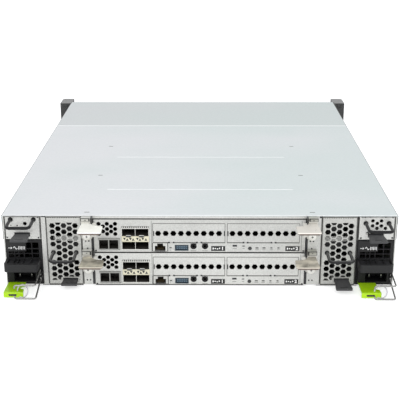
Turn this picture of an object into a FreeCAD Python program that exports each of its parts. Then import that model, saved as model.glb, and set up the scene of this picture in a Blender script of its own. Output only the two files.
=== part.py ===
# Disk shelf enclosure: a 2U, 19-inch rack chassis with two controllers, two fan modules, two power
# supplies and two battery modules at the rear (-Y) and twelve disk carriers at the front (+Y).
# Millimetres. +X is to the right seen from the rear, +Z is up. The origin is the centre of the underside.
import FreeCAD, Part
import math
import os

# ---- driving sizes: chassis ----
chassis_width = 447.0
chassis_height = 86.1
chassis_depth = 560.0
sheet = 1.2                # tray, partitions and cage sheet
cover_sheet = 1.0
cover_gap = 0.1            # between the covers' flanges and the tray
cover_flange = 12.1        # how far the covers come down the sides
flange_corner = 6.0
seam_from_front = 160.0
seam_gap = 0.5
floor_setback = 3.2        # tray floor ends this far inside both ends
bay_gap = 0.4              # running gap beside a module
rest_gap = 0.3             # running gap under a module
top_gap = 0.4              # between a module and the tray's upper edge
face_sheet = 1.2           # module face plates
can_sheet = 0.8            # module cases
can_side_gap = 0.4         # a case is this much narrower than its face, on each side
can_top_gap = 0.6          # and this much lower
bead_width = 3.0
bead_depth = 0.35
bead_margin = 109.5        # from each side of the cover to the end of a bead
bead_places = (92.0, 230.0)
dimple_places = (10.0, 148.0, 283.0)
dimple_margin = 95.5
dimple_half_length = 3.0
dimple_half_width = 1.0

# ---- rear modules ----
mating_room = 10.0         # between the modules and the midplane board, for their connectors
supply_width = 41.0
supply_foot = 1.2          # underside of the supply's bezel
battery_width = 39.8
battery_height = 27.2
shelf_sheet = 0.8
strip_width = 5.8          # white strip beside the left fan module
fan_width = 39.0
fan_foot = 1.0
fan_length = 150.0
left_column_width = 11.8
controller_foot = 0.3
controller_between = 1.1   # from one controller's face to the next
controller_side_gap = 2.2
column_recess = 1.0
rail_depth = 3.4           # depth in Z of the rail above the controllers
rail_gap = 0.6
rail_flange = 18.0
shelf_recess = 2.4         # the shelf under a battery starts this far in
between_shelf_recess = 4.0
socket_width = 12.0
socket_length = 14.0
fan_socket_span = (30.0, 52.0)

# ---- ejector levers: X measured outwards from the column's inner edge ----
lever_sheet = 1.6
lever_drop = 1.7           # lever's top below the controller's upper edge
lever_reach = 37.0
lever_inner = 1.3
lever_outer = 9.6
lever_front_outer = 11.6
lever_throat = -2.6        # inner edge just before the wing
wing_reach = 14.8
throat_start = 12.0
throat_slant = 4.0
wing_start = 14.0
wing_slant = 3.0
window_room = 1.3
pivot_side = 6.5
pivot_reach = 4.5
pin_radius = 1.5
pin_clearance = 0.06
toe_half = 1.2
toe_length = 3.5
lever_start = 0.7
lever_corner = 1.5
lip_sheet = 1.2
lip_drop = 1.1

# ---- brackets that carry the levers ----
bracket_sheet = 1.2
bracket_side = 5.7
bracket_half = 6.0
bracket_tongue = 5.0
bracket_low = 17.2
tongue_low = 19.0
lobe_level = 20.0
lobe_radius = 5.3
screw_radius = 3.7
screw_height = 1.8
shelf_reach = 8.1
hinge_block_height = 6.4
hinge_block_reach = 6.6
hinge_block_span = (0.9, 11.2)
web_near = 0.2
web_far = 1.4

# ---- handles, tabs, wire clip ----
bar_radius = 1.8
bar_span = 26.0
bar_reach = 28.0
bar_bend = 5.0
collar_height = 1.2
collar_rim = 0.9
fan_handle_level = 41.0
left_battery_bar_drop = 3.6    # a battery's handle below its upper edge
right_battery_bar_drop = 7.6
tab_sheet = 2.4
tab_root = 3.0
tab_back = 3.0
tab_pin_radius = 1.1
tab_knuckle_radius = 1.9
tab_hinge = 4.0
tab_side_gap = 0.7
tab_room = 1.4
lug_length = 6.0
lug_half = 2.4
tab_slot = (3.4, 4.6, 4.0, 0.7)   # from the tab's front edge, half length and depth
fan_tab_shift = 5.0
fan_tab_level = 7.8
fan_tab_back = 16.0
fan_tab_front = 19.0
left_fan_tab_reach = 14.5
right_fan_tab_reach = 26.0
battery_tab_shift = -0.8
battery_tab_back = 16.5
battery_tab_front = 20.5
battery_tab_reach = 21.5
left_battery_tab_rise = 6.6       # tab's top above the battery's underside
right_battery_tab_rise = 5.9
wire_radius = 0.95
wire_bend = 2.2
clip_hinge_x = 17.9
clip_hinge_out = 3.6
clip_far_x = -5.4
clip_reach = 40.0
clip_low = 1.7
clip_high = 17.0
clip_lean = 1.5
clip_hook = 3.6            # the free ends turn towards each other by this much
hinge_low = 9.5
hinge_high = 21.2
clip_lug_inset = 2.6
clip_lug_tall = 2.2
clip_lug_half = 2.2
clip_lug_corner = 1.6
clip_play = 0.05

# ---- fans ----
hex_pitch = 7.5
hex_flat = 6.0
hex_column = 6.5
hex_shift = 3.8
hex_margin_top = 7.3
hex_bottom = 6.2
hex_side_margin = 1.0
hex_smallest = 4.0         # cells with less area than this are left closed
handle_clear = 7.0
tab_clear = 2.6
tab_zone_side = 3.0        # cells this near the tab are trimmed round it
tab_zone_top = 7.0
fan_frame = 36.2
fan_wall = 2.0
fan_bore = 17.2
fan_depth = 26.0
fan_inset = 18.0
strut = 2.4
strut_depth = 2.5
hub_radius = 8.2
hub_chamfer = 1.5
blade_count = 7
blade_gap = 0.6
shaft_radius = 1.5
shaft_start = 3.0
rotor_start = 4.5
rotor_length = 18.0
blade_line = ((-5.5, 1.5), (-4.2, 1.5), (0.6, 8.0), (4.6, 17.0), (3.4, 17.0), (-0.8, 9.6))

# ---- disks ----
drive_columns = 4
drive_rows = 3
bezel_depth = 14.0
bezel_gap = 0.35
bezel_corner = 1.0
disk_side_room = 8.65      # carrier pitch less the disk's width
disk_length = 147.0
disk_top_room = 0.03
sled_rail = 2.2
sled_rail_height = 15.0
disk_rise = 1.2
sled_window_side = 14.8
sled_window_rear = 30.0
sled_window_front = 25.0
board_sheet = 3.0
midplane_margin = 2.0
midplane_lift = 1.5
air_slot_span = (25.0, 47.0)
air_slot_levels = (-5.0, 7.0)
disk_socket_levels = (-5.0, 1.0)
supply_socket_half = 12.0
supply_socket_low = 18.0
supply_socket_tall = 12.0
battery_socket_half = 9.0
battery_socket_rise = 8.6
battery_socket_tall = 8.0
plug_margin = 2.0
tie_setback = 4.0
ledge_setback = 4.0
socket_half = 21.0
disk_socket_depth = 14.6
midplane_from_front = 194.0
pocket_left_margin = 10.8
pocket_right_margin = 4.4
lever_pin_margin = 8.275
drive_lever_half = 3.5
drive_lever_height = 11.8
pocket_margin = 0.5
drive_pin_radius = 1.25
grille_count = 5
grille_pitch = 17.0
grille_length = 13.0
grille_height = 3.4
grille_shift = 2.5
grille_low_margin = 2.2
grille_high_margin = 1.3
drive_lever_end_gap = 3.0
hollow_from_end = 9.0
hollow_from_pin = 6.0
hollow_face = 2.2
hollow_wall = 1.6
scoop_length = 7.0
scoop_face = 2.5

# ---- rack ears ----
ear_width = 18.9
ear_hole_inset = 10.15     # from the tray's side to the rack holes
hole_spacing_z = 76.2
hole_radius = 3.5
ear_back = 10.0            # ear reaches this far behind the front edge
ear_front = 25.0           # and this far beyond it
ear_wall = 2.4
ear_flange = 6.0
ear_corner = 5.0
ear_pocket_corner = 3.0
ear_rib = 1.0
ear_rib_setback = 8.0

# ---- controller faces: X from the controller's left edge, Z from its underside ----
sas_spans = ((5.5, 15.8), (17.05, 27.3))
sas_levels = (4.0, 15.1)
sas_wall = 0.9
sas_length = 18.0
cage_span = (31.4, 62.6)
cage_levels = (3.3, 29.6)
cage_cell_spans = ((31.9, 46.8), (47.2, 62.1))
cage_cell_levels = ((3.9, 13.1), (19.9, 29.0))
cage_out = 1.0
cage_length = 49.0
cage_end_wall = 4.0
lamp_strip_levels = (13.5, 19.5)
lamp_strip_sheet = 0.6
slot_margin_left = 66.8
slot_margin_right = 6.5
slot_divider = 2.5
slot_bottom = 11.6
slot_top_margin = 4.8
slot_edge_gap = 0.35
slot_lap = 1.0
slot_hex_count = 9
slot_hex_flat = 6.1
slot_hex_drop = 0.2        # hex row below the middle of the slot
slot_hex_first = (6.1, 5.9)    # from each slot's left edge
slot_hex_ends = 12.86      # first and last hex margins together
network_span = (0.1, 16.3)     # ports below the slots: X from a slot's left edge
network_levels = (2.0, 11.3)
network_hole_span = (2.2, 14.25)
network_hole_levels = (2.5, 10.9)
network_out = 0.4
network_length = 20.0
network_hole_depth = 14.0
usb_span = (25.0, 40.4)
usb_levels = (2.1, 9.0)
usb_wall = 0.7
usb_out = 0.3
usb_length = 16.0
usb_hole_depth = 13.0
usb_tongue_side = 1.6
usb_tongue_back = 1.0
usb_tongue_low = 2.6
usb_tongue_high = 1.9
round_socket_places = (46.2, 59.25)
round_socket_level = 7.5
round_socket_radius = 3.5
round_socket_flat = 2.7
round_socket_bore = 1.6
round_socket_out = 0.2
round_socket_length = 14.0
round_socket_bore_depth = 8.0
lamp_place = 26.0
lamp_level = 5.0
lamp_radius = 2.1
lamp_out = 0.5
lamp_length = 8.0
vent_radius = 2.4
vent_places = (5.8, 10.6, 15.2, 19.8, 24.4)
vent_drops = (5.2, 11.4, 17.4)     # below the controller's upper edge
vent_drops_between = (8.3, 14.4)
port_gap = 0.1
controller_can_gap = 0.6
controller_board_gap = 3.8
controller_rear_room = 6.0
board_thick = 1.6
board_rear_room = 14.0
plug_half = 22.0
plug_levels = (12.5, 21.5)
plug_length = 22.0
plug_shift = 2.1
plug_slot_margin = 28.0
plug_slot_lift = 4.5
sink_centre = -5.0
sink_half = 40.0
sink_start = 150.0
sink_length = 80.0
sink_drop = 9.8            # heat sink's top below the controller's upper edge
fin_pitch = 8.0
fin_slot = 5.0
fin_base = 3.4

# ---- power supplies: X from the supply's centre, Z from the chassis underside ----
supply_bezel = 2.5
supply_corner = 0.8
supply_can_drop = 0.8
visor_reach = 19.5
visor_low = 24.4
visor_high = 33.7
visor_left = -20.4
visor_right = 18.1
visor_wall = 2.0
visor_corner = 4.0
visor_slot_front = 4.5
visor_slot_back = 1.2
inlet_reach = 8.0
inlet_low = 8.7
inlet_half = 12.3
inlet_x = 0.8
inlet_wall = 1.2
inlet_depth = 9.0
inlet_block = (-19.4, 15.2)
block_low = 7.5
blade_places = ((-6.8, 13.4), (6.8, 13.4), (0.0, 19.4))
blade_wide = 2.0
blade_tall = 4.0
blade_out = 2.5
grid_edges = (-18.0, -10.8, -6.1, -0.2, 9.0, 17.3)
grid_bar = 0.9
grid_right_from = 3        # cells from this one on are taller
grid_left_rows = ((0.022, 0.238), (0.269, 0.372))      # parts of the height above the visor
grid_right_rows = ((0.022, 0.238), (0.269, 0.502), (0.538, 0.865))
release_level = 6.9
release_sheet = 2.0
release_reach = 34.5
release_pivot_x = -8.0
release_pivot_in = 5.0
release_pin_radius = 1.25
release_left = -18.9
release_right = 3.0
release_lip_low = 0.6
release_lip_sheet = 2.0
release_edge = 1.4
release_neck = 0.8
release_neck_out = 9.0
release_play = 0.4
release_window_right = 1.9
release_foot_half = 5.0
release_foot_drop = 2.2
release_root_radius = 3.6
notch_radius = 4.7
notch_inset = 1.0
notch_out = 21.2
release_slot = (-13.0, -4.7, 2.2, 3.7)

# ---- battery vents: X from the module's centre, drop below its upper edge, radius ----
left_vents = ((3.0, 8.6, 2.2),)
right_vents = ((-5.1, 4.85, 2.1), (4.5, 4.85, 2.1), (-0.1, 7.85, 2.1), (-5.1, 10.9, 2.1),
               (4.7, 10.9, 2.1), (-0.1, 13.85, 2.1), (9.5, 13.85, 2.1), (-10.5, 20.1, 1.9))

# ---- places that follow from the driving sizes ----
rear = -chassis_depth / 2
front = chassis_depth / 2
tray_side = chassis_width / 2 - cover_sheet - cover_gap
inner_side = tray_side - sheet
tray_top = chassis_height - cover_sheet - cover_gap
seam = front - seam_from_front
midplane = front - midplane_from_front
cage_side = inner_side - 0.1
cage_start = midplane + board_sheet
disk_rear = cage_start + disk_socket_depth + bay_gap
module_rear = midplane - mating_room
ear_outside = tray_side + ear_width
hole_spacing_x = 2 * (tray_side + ear_hole_inset)
supply_centre = inner_side - bay_gap - supply_width / 2
wall_outer = inner_side - 2 * bay_gap - supply_width
right_fan_centre = wall_outer - sheet - bay_gap - fan_width / 2
left_fan_centre = -(wall_outer - strip_width - bay_gap - fan_width / 2)
left_column = -left_fan_centre - fan_width / 2 - bay_gap
right_column = right_fan_centre - fan_width / 2 - bay_gap
column_inner = left_column - left_column_width
controller_width = 2 * (column_inner - controller_side_gap)
controller_height = (tray_top - rail_depth - rail_gap - controller_foot - controller_between) / 2
controller_pitch = controller_height + controller_between
lower_foot = controller_foot
upper_foot = controller_foot + controller_pitch
fan_height = tray_top - fan_foot - top_gap
fan_levels = (fan_foot + fan_height / 4, fan_foot + 3 * fan_height / 4)
hex_top = fan_foot + fan_height - hex_margin_top
supply_height = tray_top - top_gap - battery_height - 2 * rest_gap - shelf_sheet - supply_foot
supply_top = supply_foot + supply_height
shelf_low = supply_top + rest_gap
battery_foot = shelf_low + shelf_sheet + rest_gap
battery_top = battery_foot + battery_height
body_lift = sheet + rest_gap - controller_foot
body_height = controller_height - 2 * body_lift + rest_gap
lever_level = controller_height - lever_drop
lever_pivot = column_inner + pivot_side
column_pitch = (2 * (cage_side - sheet) + sheet) / drive_columns
row_pitch = (chassis_height - cover_sheet - sheet) / drive_rows
disk_width = column_pitch - disk_side_room
bezel_height = row_pitch - 2 * bezel_gap
bezel_width = column_pitch - 2 * bezel_gap
disk_low = disk_rise - bezel_height / 2
sled_low = disk_low - can_sheet
disk_height = bezel_height - disk_rise + disk_top_room
drive_lever_pin_x = bezel_width / 2 - lever_pin_margin
controller_left = -controller_width / 2
slot_width = (controller_width - slot_margin_left - slot_margin_right - slot_divider) / 2
slot_starts = tuple(controller_left + slot_margin_left + k * (slot_width + slot_divider) for k in (0, 1))
slot_top = controller_height - slot_top_margin
slot_hex_step = (slot_width - slot_hex_ends) / (slot_hex_count - 1)
plug_x = controller_width / 4 + plug_shift


def block(x0, x1, y0, y1, z0, z1):
    return Part.makeBox(x1 - x0, y1 - y0, z1 - z0, FreeCAD.Vector(x0, y0, z0))


def side_block(side, near, far, y0, y1, z0, z1):
    """A block between two distances from the middle plane, on one side of it."""
    a, b = sorted((side * near, side * far))
    return block(a, b, y0, y1, z0, z1)


def prism(outline, axis, start, end):
    """A closed outline, drawn in the plane across an axis, carried from start to end along it."""
    place = {"x": lambda a, b: (start, a, b), "y": lambda a, b: (a, start, b),
             "z": lambda a, b: (a, b, start)}[axis]
    way = {"x": (1, 0, 0), "y": (0, 1, 0), "z": (0, 0, 1)}[axis]
    points = [FreeCAD.Vector(*place(a, b)) for a, b in outline]
    face = Part.Face(Part.makePolygon(points + points[:1]))
    return face.extrude(FreeCAD.Vector(*way) * (end - start))


def disc(x, y, z, radius, length, axis):
    way = {"x": (1, 0, 0), "y": (0, 1, 0), "z": (0, 0, 1)}[axis]
    return Part.makeCylinder(radius, length, FreeCAD.Vector(x, y, z), FreeCAD.Vector(*way))


def cut(shape, tools):
    return shape.cut(list(tools)) if tools else shape


def join(shape, others):
    return shape.fuse(list(others)).removeSplitter()


def soften(shape, radius, chosen):
    """Rounds the edges for which chosen(edge middle, edge direction) is true."""
    edges = []
    for edge in shape.Edges:
        if edge.Curve.TypeId == "Part::GeomLine":
            ends = [vertex.Point for vertex in edge.Vertexes]
            if chosen((ends[0] + ends[1]) * 0.5, (ends[1] - ends[0]).normalize()):
                edges.append(edge)
    return shape.makeFillet(radius, edges) if edges else shape


def rounded_rod(points, bend, radius):
    """A round rod along straight runs, with a tangent arc at every corner."""
    points = [FreeCAD.Vector(*point) for point in points]
    count = len(points)
    arcs = {}
    centres = {}
    for i in range(1, count - 1):
        to_last = (points[i - 1] - points[i]).normalize()
        to_next = (points[i + 1] - points[i]).normalize()
        half = to_last.getAngle(to_next) / 2
        start = points[i] + to_last * (bend / math.tan(half))
        end = points[i] + to_next * (bend / math.tan(half))
        centre = points[i] + (to_last + to_next).normalize() * (bend / math.sin(half))
        middle = centre + (points[i] - centre).normalize() * bend
        arcs[i] = (start, middle, end)
        centres[i] = centre
    solids = []
    for i in range(count - 1):
        j = i + 1
        run_start = arcs[i][2] if i in arcs else points[i]
        run_end = arcs[j][0] if j in arcs else points[j]
        run = run_end - run_start
        solids.append(Part.makeCylinder(radius, run.Length, run_start, run))
        if j in arcs:
            start, middle, end = arcs[j]
            turn_axis = (middle - start).cross(end - middle).normalize()
            to_start = start - centres[j]
            angle = math.degrees(to_start.getAngle(end - centres[j]))
            section = Part.Face(Part.Wire(Part.makeCircle(radius, start, run)))
            solids.append(section.revolve(centres[j], turn_axis, angle))
    return join(solids[0], solids[1:])


def hexagon(x, z, flat, y0, y1):
    """A six-sided prism along Y with flats above and below, flat to flat wide in Z."""
    reach = flat / math.sqrt(3)
    outline = [(x + reach * math.cos(math.radians(60 * k)), z + reach * math.sin(math.radians(60 * k)))
               for k in range(6)]
    return prism(outline, "y", y0, y1)


def save(name, solids):
    shape = solids[0] if len(solids) == 1 else Part.makeCompound(solids)
    shape.exportStep("parts/" + name + ".step")


# ---- chassis ----
def make_tray():
    floor = block(-tray_side, tray_side, rear + floor_setback, front - floor_setback, 0, sheet)
    sides = [side_block(s, inner_side, tray_side, rear, front, 0, tray_top) for s in (-1, 1)]
    save("chassis_tray", [join(floor, sides)])


def make_cover(name, start, end, rear_end):
    half = chassis_width / 2
    under = chassis_height - cover_sheet
    low = chassis_height - cover_flange
    top = block(-half, half, start, end, under, chassis_height)
    flanges = []
    for side in (-1, 1):
        flange = side_block(side, half - cover_sheet, half, start, end, low, under)
        corner = start if rear_end else end
        flanges.append(soften(flange, flange_corner,
                              lambda middle, way: abs(way.x) > 0.9 and middle.z < low + 1
                              and abs(middle.y - corner) < 1))
    cover = join(top, flanges)
    cover = soften(cover, cover_sheet * 0.9,
                   lambda middle, way: abs(way.y) > 0.9 and abs(middle.x) > half - 0.5
                   and middle.z > chassis_height - 0.5)
    tools = []
    level = chassis_height - bead_depth
    bead_half = half - bead_margin
    for place in bead_places if rear_end else ():
        tools.append(block(-bead_half, bead_half, rear + place - bead_width / 2,
                           rear + place + bead_width / 2, level, chassis_height + 1))
    dimple = half - dimple_margin
    for place in dimple_places if rear_end else ():
        for side in (-1, 1):
            tools.append(side_block(side, dimple - dimple_half_length, dimple + dimple_half_length,
                                    rear + place - dimple_half_width, rear + place + dimple_half_width,
                                    level, chassis_height + 1))
    save(name, [cut(cover, tools)])


def make_partitions():
    back = midplane - 0.2
    start = rear + column_recess
    end = start + sheet
    high = tray_top
    wall_inner = wall_outer - sheet
    pieces = []
    for side in (-1, 1):
        pieces.append(side_block(side, wall_inner, wall_outer, start, back, sheet, high))
        pieces.append(side_block(side, wall_inner, inner_side, rear + shelf_recess, back,
                                 shelf_low, shelf_low + shelf_sheet))
    pieces.append(block(-wall_outer, -wall_outer + strip_width, start, end, sheet, high))
    for side, outer in ((-1, left_column), (1, right_column)):
        windows = []
        for foot in (lower_foot, upper_foot):
            level = foot + lever_level
            windows.append(side_block(side, column_inner + sheet + bay_gap, column_inner + lever_outer + bay_gap,
                                      start - 1, end + 1, level - lever_sheet - window_room, level + window_room))
        pieces.append(cut(side_block(side, column_inner, outer, start, end, sheet, high), windows))
        for near in (column_inner, outer - sheet):
            pieces.append(side_block(side, near, near + sheet, start, back, sheet, high))
    shelf = upper_foot + body_lift - rest_gap - shelf_sheet
    pieces.append(block(-column_inner, column_inner, rear + between_shelf_recess, back, shelf, shelf + shelf_sheet))
    rail_low = high - rail_depth
    pieces.append(block(-column_inner, column_inner, start, end, rail_low, high))
    pieces.append(block(-column_inner, column_inner, start, start + rail_flange, high - sheet, high))
    walls = join(pieces[0], pieces[1:])
    y0 = rear + fan_length + rest_gap
    sockets = [side_block(side, wall_inner - socket_width, wall_inner, y0, y0 + socket_length, *fan_socket_span)
               for side in (-1, 1)]
    save("bay_partitions", [walls] + sockets)


def make_ear(name, side):
    """Moulded ear: a back plate with the rack holes, and a hood round the screws, open to the front."""
    y0, y1 = front - ear_back, front + ear_front
    middle_z = chassis_height / 2
    shell = side_block(side, tray_side, ear_outside, y0, y1, 0, chassis_height)
    outer_edge = side * ear_outside
    shell = soften(shell, ear_corner, lambda middle, way: abs(way.z) > 0.9 and abs(middle.x - outer_edge) < 1
                   and middle.y > front)
    pocket = side_block(side, tray_side + ear_wall, ear_outside - ear_wall, y0 + ear_flange, y1 + 1,
                        ear_wall, chassis_height - ear_wall)
    pocket = soften(pocket, ear_pocket_corner, lambda middle, way: abs(way.y) > 0.9)
    rib = side_block(side, tray_side + ear_rib, ear_outside - ear_rib, y0 + ear_rib, y1 - ear_rib_setback,
                     middle_z - ear_rib, middle_z + ear_rib)
    shell = join(cut(shell, [pocket]), [rib])
    holes = [disc(side * hole_spacing_x / 2, y0 - 1, middle_z + k * hole_spacing_z / 2,
                  hole_radius, ear_flange + 2, "y") for k in (-1, 1)]
    flange_clear = side_block(side, tray_side - 1, chassis_width / 2 + cover_gap, y0 - 1, front + 0.2,
                              chassis_height - cover_flange - cover_gap, chassis_height + 1)
    save(name, [cut(shell, holes + [flange_clear])])


# ---- front: cage, midplane and carriers ----
def drive_places():
    for row in range(drive_rows):
        for column in range(drive_columns):
            yield (row * drive_columns + column + 1,
                   (column - (drive_columns - 1) / 2) * column_pitch,
                   sheet + (row + 0.5) * row_pitch)


def make_cage():
    end = front - bezel_depth - 1
    walls = [block(x - sheet / 2, x + sheet / 2, cage_start, end, sheet, tray_top)
             for x in [(column - drive_columns / 2) * column_pitch for column in range(1, drive_columns)]]
    sides = [side_block(s, cage_side - sheet, cage_side, cage_start, end, sheet, tray_top) for s in (-1, 1)]
    ties = [block(-cage_side, cage_side, cage_start, cage_start + disk_socket_depth - tie_setback, z, z + sheet)
            for z in (sheet, tray_top - sheet)]
    ledges = []
    for number, x, z in drive_places():
        if z > row_pitch:
            top = z + sled_low - rest_gap
            for side in (-1, 1):
                a, b = sorted((x + side * (disk_width / 2 + bay_gap), x + side * (column_pitch / 2)))
                ledges.append(block(a, b, cage_start, end - ledge_setback, top - can_sheet, top))
    save("drive_cage", [join(sides[0], sides[1:] + walls + ties + ledges)])


def make_midplane():
    board = block(-inner_side + midplane_margin, inner_side - midplane_margin, midplane, midplane + board_sheet,
                  sheet + midplane_lift, tray_top - midplane_lift)
    slots = []
    sockets = []
    for number, x, z in drive_places():
        for side in (-1, 1):
            a, b = sorted((x + side * air_slot_span[0], x + side * air_slot_span[1]))
            slots.append(block(a, b, midplane - 1, midplane + board_sheet + 1,
                               z + air_slot_levels[0], z + air_slot_levels[1]))
        sockets.append(block(x - socket_half, x + socket_half, midplane + board_sheet,
                             cage_start + disk_socket_depth, z + disk_socket_levels[0], z + disk_socket_levels[1]))
    y0 = module_rear + rest_gap
    for side in (-1, 1):
        middle = side * supply_centre
        for half, low, high in ((supply_socket_half, supply_socket_low, supply_socket_low + supply_socket_tall),
                                (battery_socket_half, battery_foot + battery_socket_rise,
                                 battery_foot + battery_socket_rise + battery_socket_tall)):
            sockets.append(block(middle - half, middle + half, y0, midplane, low, high))
        half = plug_half + plug_margin
        for foot in (lower_foot, upper_foot):
            sockets.append(block(side * plug_x - half, side * plug_x + half, y0, midplane,
                                 foot + plug_levels[0] - 0.5, foot + plug_levels[1] + 0.5))
    save("midplane_board", [cut(board, slots)] + sockets)


def make_drive(number, x, z):
    y0, y1 = front - bezel_depth, front
    half_width, half_height = bezel_width / 2, bezel_height / 2
    bezel = block(x - half_width, x + half_width, y0, y1, z - half_height, z + half_height)
    bezel = soften(bezel, bezel_corner, lambda middle, way: abs(way.y) < 0.1 and middle.y > y1 - 0.5)
    depth = 2 * drive_lever_half + 2 * pocket_margin
    half = drive_lever_height / 2 + pocket_margin
    tools = [block(x - half_width + pocket_left_margin, x + half_width - pocket_right_margin,
                   y1 - depth, y1 + 1, z - half, z + half)]
    for k in range(grille_count):
        left = x + (k - grille_count / 2) * grille_pitch + grille_shift
        for z0 in (z - half_height + grille_low_margin, z + half + grille_high_margin):
            tools.append(block(left, left + grille_length, y0 - 1, y1 + 1, z0, z0 + grille_height))
    bezel = cut(bezel, tools)
    pin = disc(x + drive_lever_pin_x, y1 - depth / 2, z - half - 0.5, drive_pin_radius, 2 * half + 1, "z")
    sides = [sorted((x + s * disk_width / 2, x + s * (disk_width / 2 + sled_rail))) for s in (-1, 1)]
    rails = [block(a, b, disk_rear, y0, z + sled_low, z + sled_low + sled_rail_height) for a, b in sides]
    plate = block(x - disk_width / 2, x + disk_width / 2, disk_rear, y0, z + sled_low, z + disk_low)
    window_half = disk_width / 2 - sled_window_side
    window = block(x - window_half, x + window_half, disk_rear + sled_window_rear, y0 - sled_window_front,
                   z + sled_low - 1, z + disk_low + 1)
    sled = join(bezel, rails + [cut(plate, [window]), pin])
    disk = block(x - disk_width / 2, x + disk_width / 2, disk_rear, disk_rear + disk_length,
                 z + disk_low, z + disk_low + disk_height)
    save("drive_%02d" % number, [sled, disk])


def make_drive_lever(number, x, z):
    """Carrier lever: a bar with a round hinge end, a hollow back and a lifted finger end."""
    pin_y = front - drive_lever_half - pocket_margin
    half = drive_lever_height / 2
    end_x = x - bezel_width / 2 + pocket_left_margin + drive_lever_end_gap
    pin_x = x + drive_lever_pin_x
    r = drive_lever_half
    lever = block(end_x, pin_x, pin_y - r, pin_y + r, z - half, z + half)
    lever = join(lever, [disc(pin_x, pin_y, z - half, r, 2 * half, "z")])
    hollow = block(end_x + hollow_from_end, pin_x - hollow_from_pin, pin_y - r - 1, pin_y + r - hollow_face,
                   z - half + hollow_wall, z + half - hollow_wall)
    scoop = prism([(end_x - 1, pin_y - r - 1), (end_x + scoop_length, pin_y - r - 1),
                   (end_x - 1, pin_y + r - scoop_face)], "z", z - half - 1, z + half + 1)
    bore = disc(pin_x, pin_y, z - half - 1, drive_pin_radius + pin_clearance, 2 * half + 2, "z")
    save("drive_lever_%02d" % number, [cut(lever, [hollow, scoop, bore])])


# ---- controllers ----
def spans(pairs, offset):
    return [(a + offset, b + offset) for a, b in pairs]


def make_bracket(foot, side):
    """The lever's bracket on the face's edge: sheet, shelf, pin and the hinge block on the pin, and its screw."""
    y0 = rear
    level = foot + lever_level
    top = level - lever_sheet - rest_gap
    sheet_y = y0 - bracket_sheet
    lobe_x = side * (column_inner + bracket_side)
    lobe = disc(lobe_x, sheet_y, foot + lobe_level, lobe_radius, bracket_sheet, "y")
    upright = side_block(side, column_inner + bracket_side - bracket_half, column_inner + bracket_side + bracket_half,
                         sheet_y, y0, foot + bracket_low, top)
    tongue = side_block(side, column_inner - bracket_tongue, column_inner, sheet_y, y0, foot + tongue_low, top)
    shelf = side_block(side, column_inner + lever_inner + 0.5, column_inner + lever_outer,
                       y0 - shelf_reach, y0, top - bracket_sheet, top)
    block_high = min(level + rest_gap + hinge_block_height, tray_top - 0.1)
    hinge_block = side_block(side, column_inner + hinge_block_span[0], column_inner + hinge_block_span[1],
                             y0 - hinge_block_reach, y0, level + rest_gap, block_high)
    web = side_block(side, column_inner - web_far, column_inner - web_near, y0 - hinge_block_reach, y0,
                     top - bracket_sheet, block_high)
    web_top = side_block(side, column_inner - web_far, column_inner + hinge_block_span[0] + 1,
                         y0 - hinge_block_reach, y0, level + rest_gap, block_high)
    pin = disc(side * lever_pivot, y0 - pivot_reach, top - 0.5, pin_radius, level + rest_gap + 1 - top, "z")
    bracket = join(upright, [tongue, lobe, shelf, pin, hinge_block, web, web_top])
    screw = disc(lobe_x, sheet_y - screw_height, foot + lobe_level, screw_radius, screw_height, "y")
    return [bracket, screw]


def make_controller(name, foot):
    y0, y1 = rear, rear + face_sheet
    half = controller_width / 2
    high = foot + controller_height
    face = block(-half, half, y0, y1, foot, high)
    holes = [block(x0, x1, y0 - 1, y1 + 1, foot + sas_levels[0], foot + sas_levels[1])
             for x0, x1 in spans(sas_spans, controller_left)]
    for (xa, xb), (za, zb) in ((spans([cage_span], controller_left)[0], cage_levels),
                               (spans([network_span], slot_starts[0])[0], network_levels),
                               (spans([usb_span], slot_starts[0])[0], usb_levels)):
        holes.append(block(xa - port_gap, xb + port_gap, y0 - 1, y1 + 1,
                           foot + za - port_gap, foot + zb + port_gap))
    for x0 in slot_starts:
        holes.append(block(x0, x0 + slot_width, y0 - 1, y1 + 1, foot + slot_bottom, foot + slot_top))
    for place in round_socket_places:
        holes.append(disc(slot_starts[0] + place, y0 - 1, foot + round_socket_level,
                          round_socket_radius + port_gap, face_sheet + 2, "y"))
    holes.append(disc(slot_starts[1] + lamp_place, y0 - 1, foot + lamp_level, lamp_radius + port_gap,
                      face_sheet + 2, "y"))
    for k, place in enumerate(vent_places):
        for drop in vent_drops if k % 2 == 0 else vent_drops_between:
            holes.append(disc(controller_left + place, y0 - 1, high - drop, vent_radius, face_sheet + 2, "y"))
    face = cut(face, holes)
    low = foot + body_lift
    end = module_rear - controller_rear_room
    can_half = half - controller_can_gap
    shell = block(-can_half, can_half, y1, end, low, low + body_height)
    inside = block(-can_half + can_sheet, can_half - can_sheet, y1 - 1, end - can_sheet,
                   low + can_sheet, low + body_height - can_sheet)
    rear_slot = block(-plug_x - plug_slot_margin, plug_x + plug_slot_margin, end - can_sheet - 1, end + 1,
                      foot + plug_levels[0] - plug_slot_lift, foot + plug_levels[1] + plug_slot_lift)
    solids = [join(face, [cut(shell, [inside, rear_slot])])]
    slot_low = foot + slot_bottom + slot_edge_gap
    middle = foot + (slot_bottom + slot_top) / 2 - slot_hex_drop
    for x0, first in zip(slot_starts, slot_hex_first):
        x1 = x0 + slot_width
        plate = block(x0 + slot_edge_gap, x1 - slot_edge_gap, y0, y1, slot_low, foot + slot_top - slot_edge_gap)
        flange = block(x0 - slot_lap, x1 + slot_lap, y1, y1 + can_sheet, slot_low, foot + slot_top + slot_lap)
        hexes = [hexagon(x0 + first + k * slot_hex_step, middle, slot_hex_flat, y0 - 1, y1 + 2)
                 for k in range(slot_hex_count)]
        solids.append(cut(join(plate, [flange]), hexes))
    for side in (-1, 1):
        solids += make_bracket(foot, side)
    save(name, solids)


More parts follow.
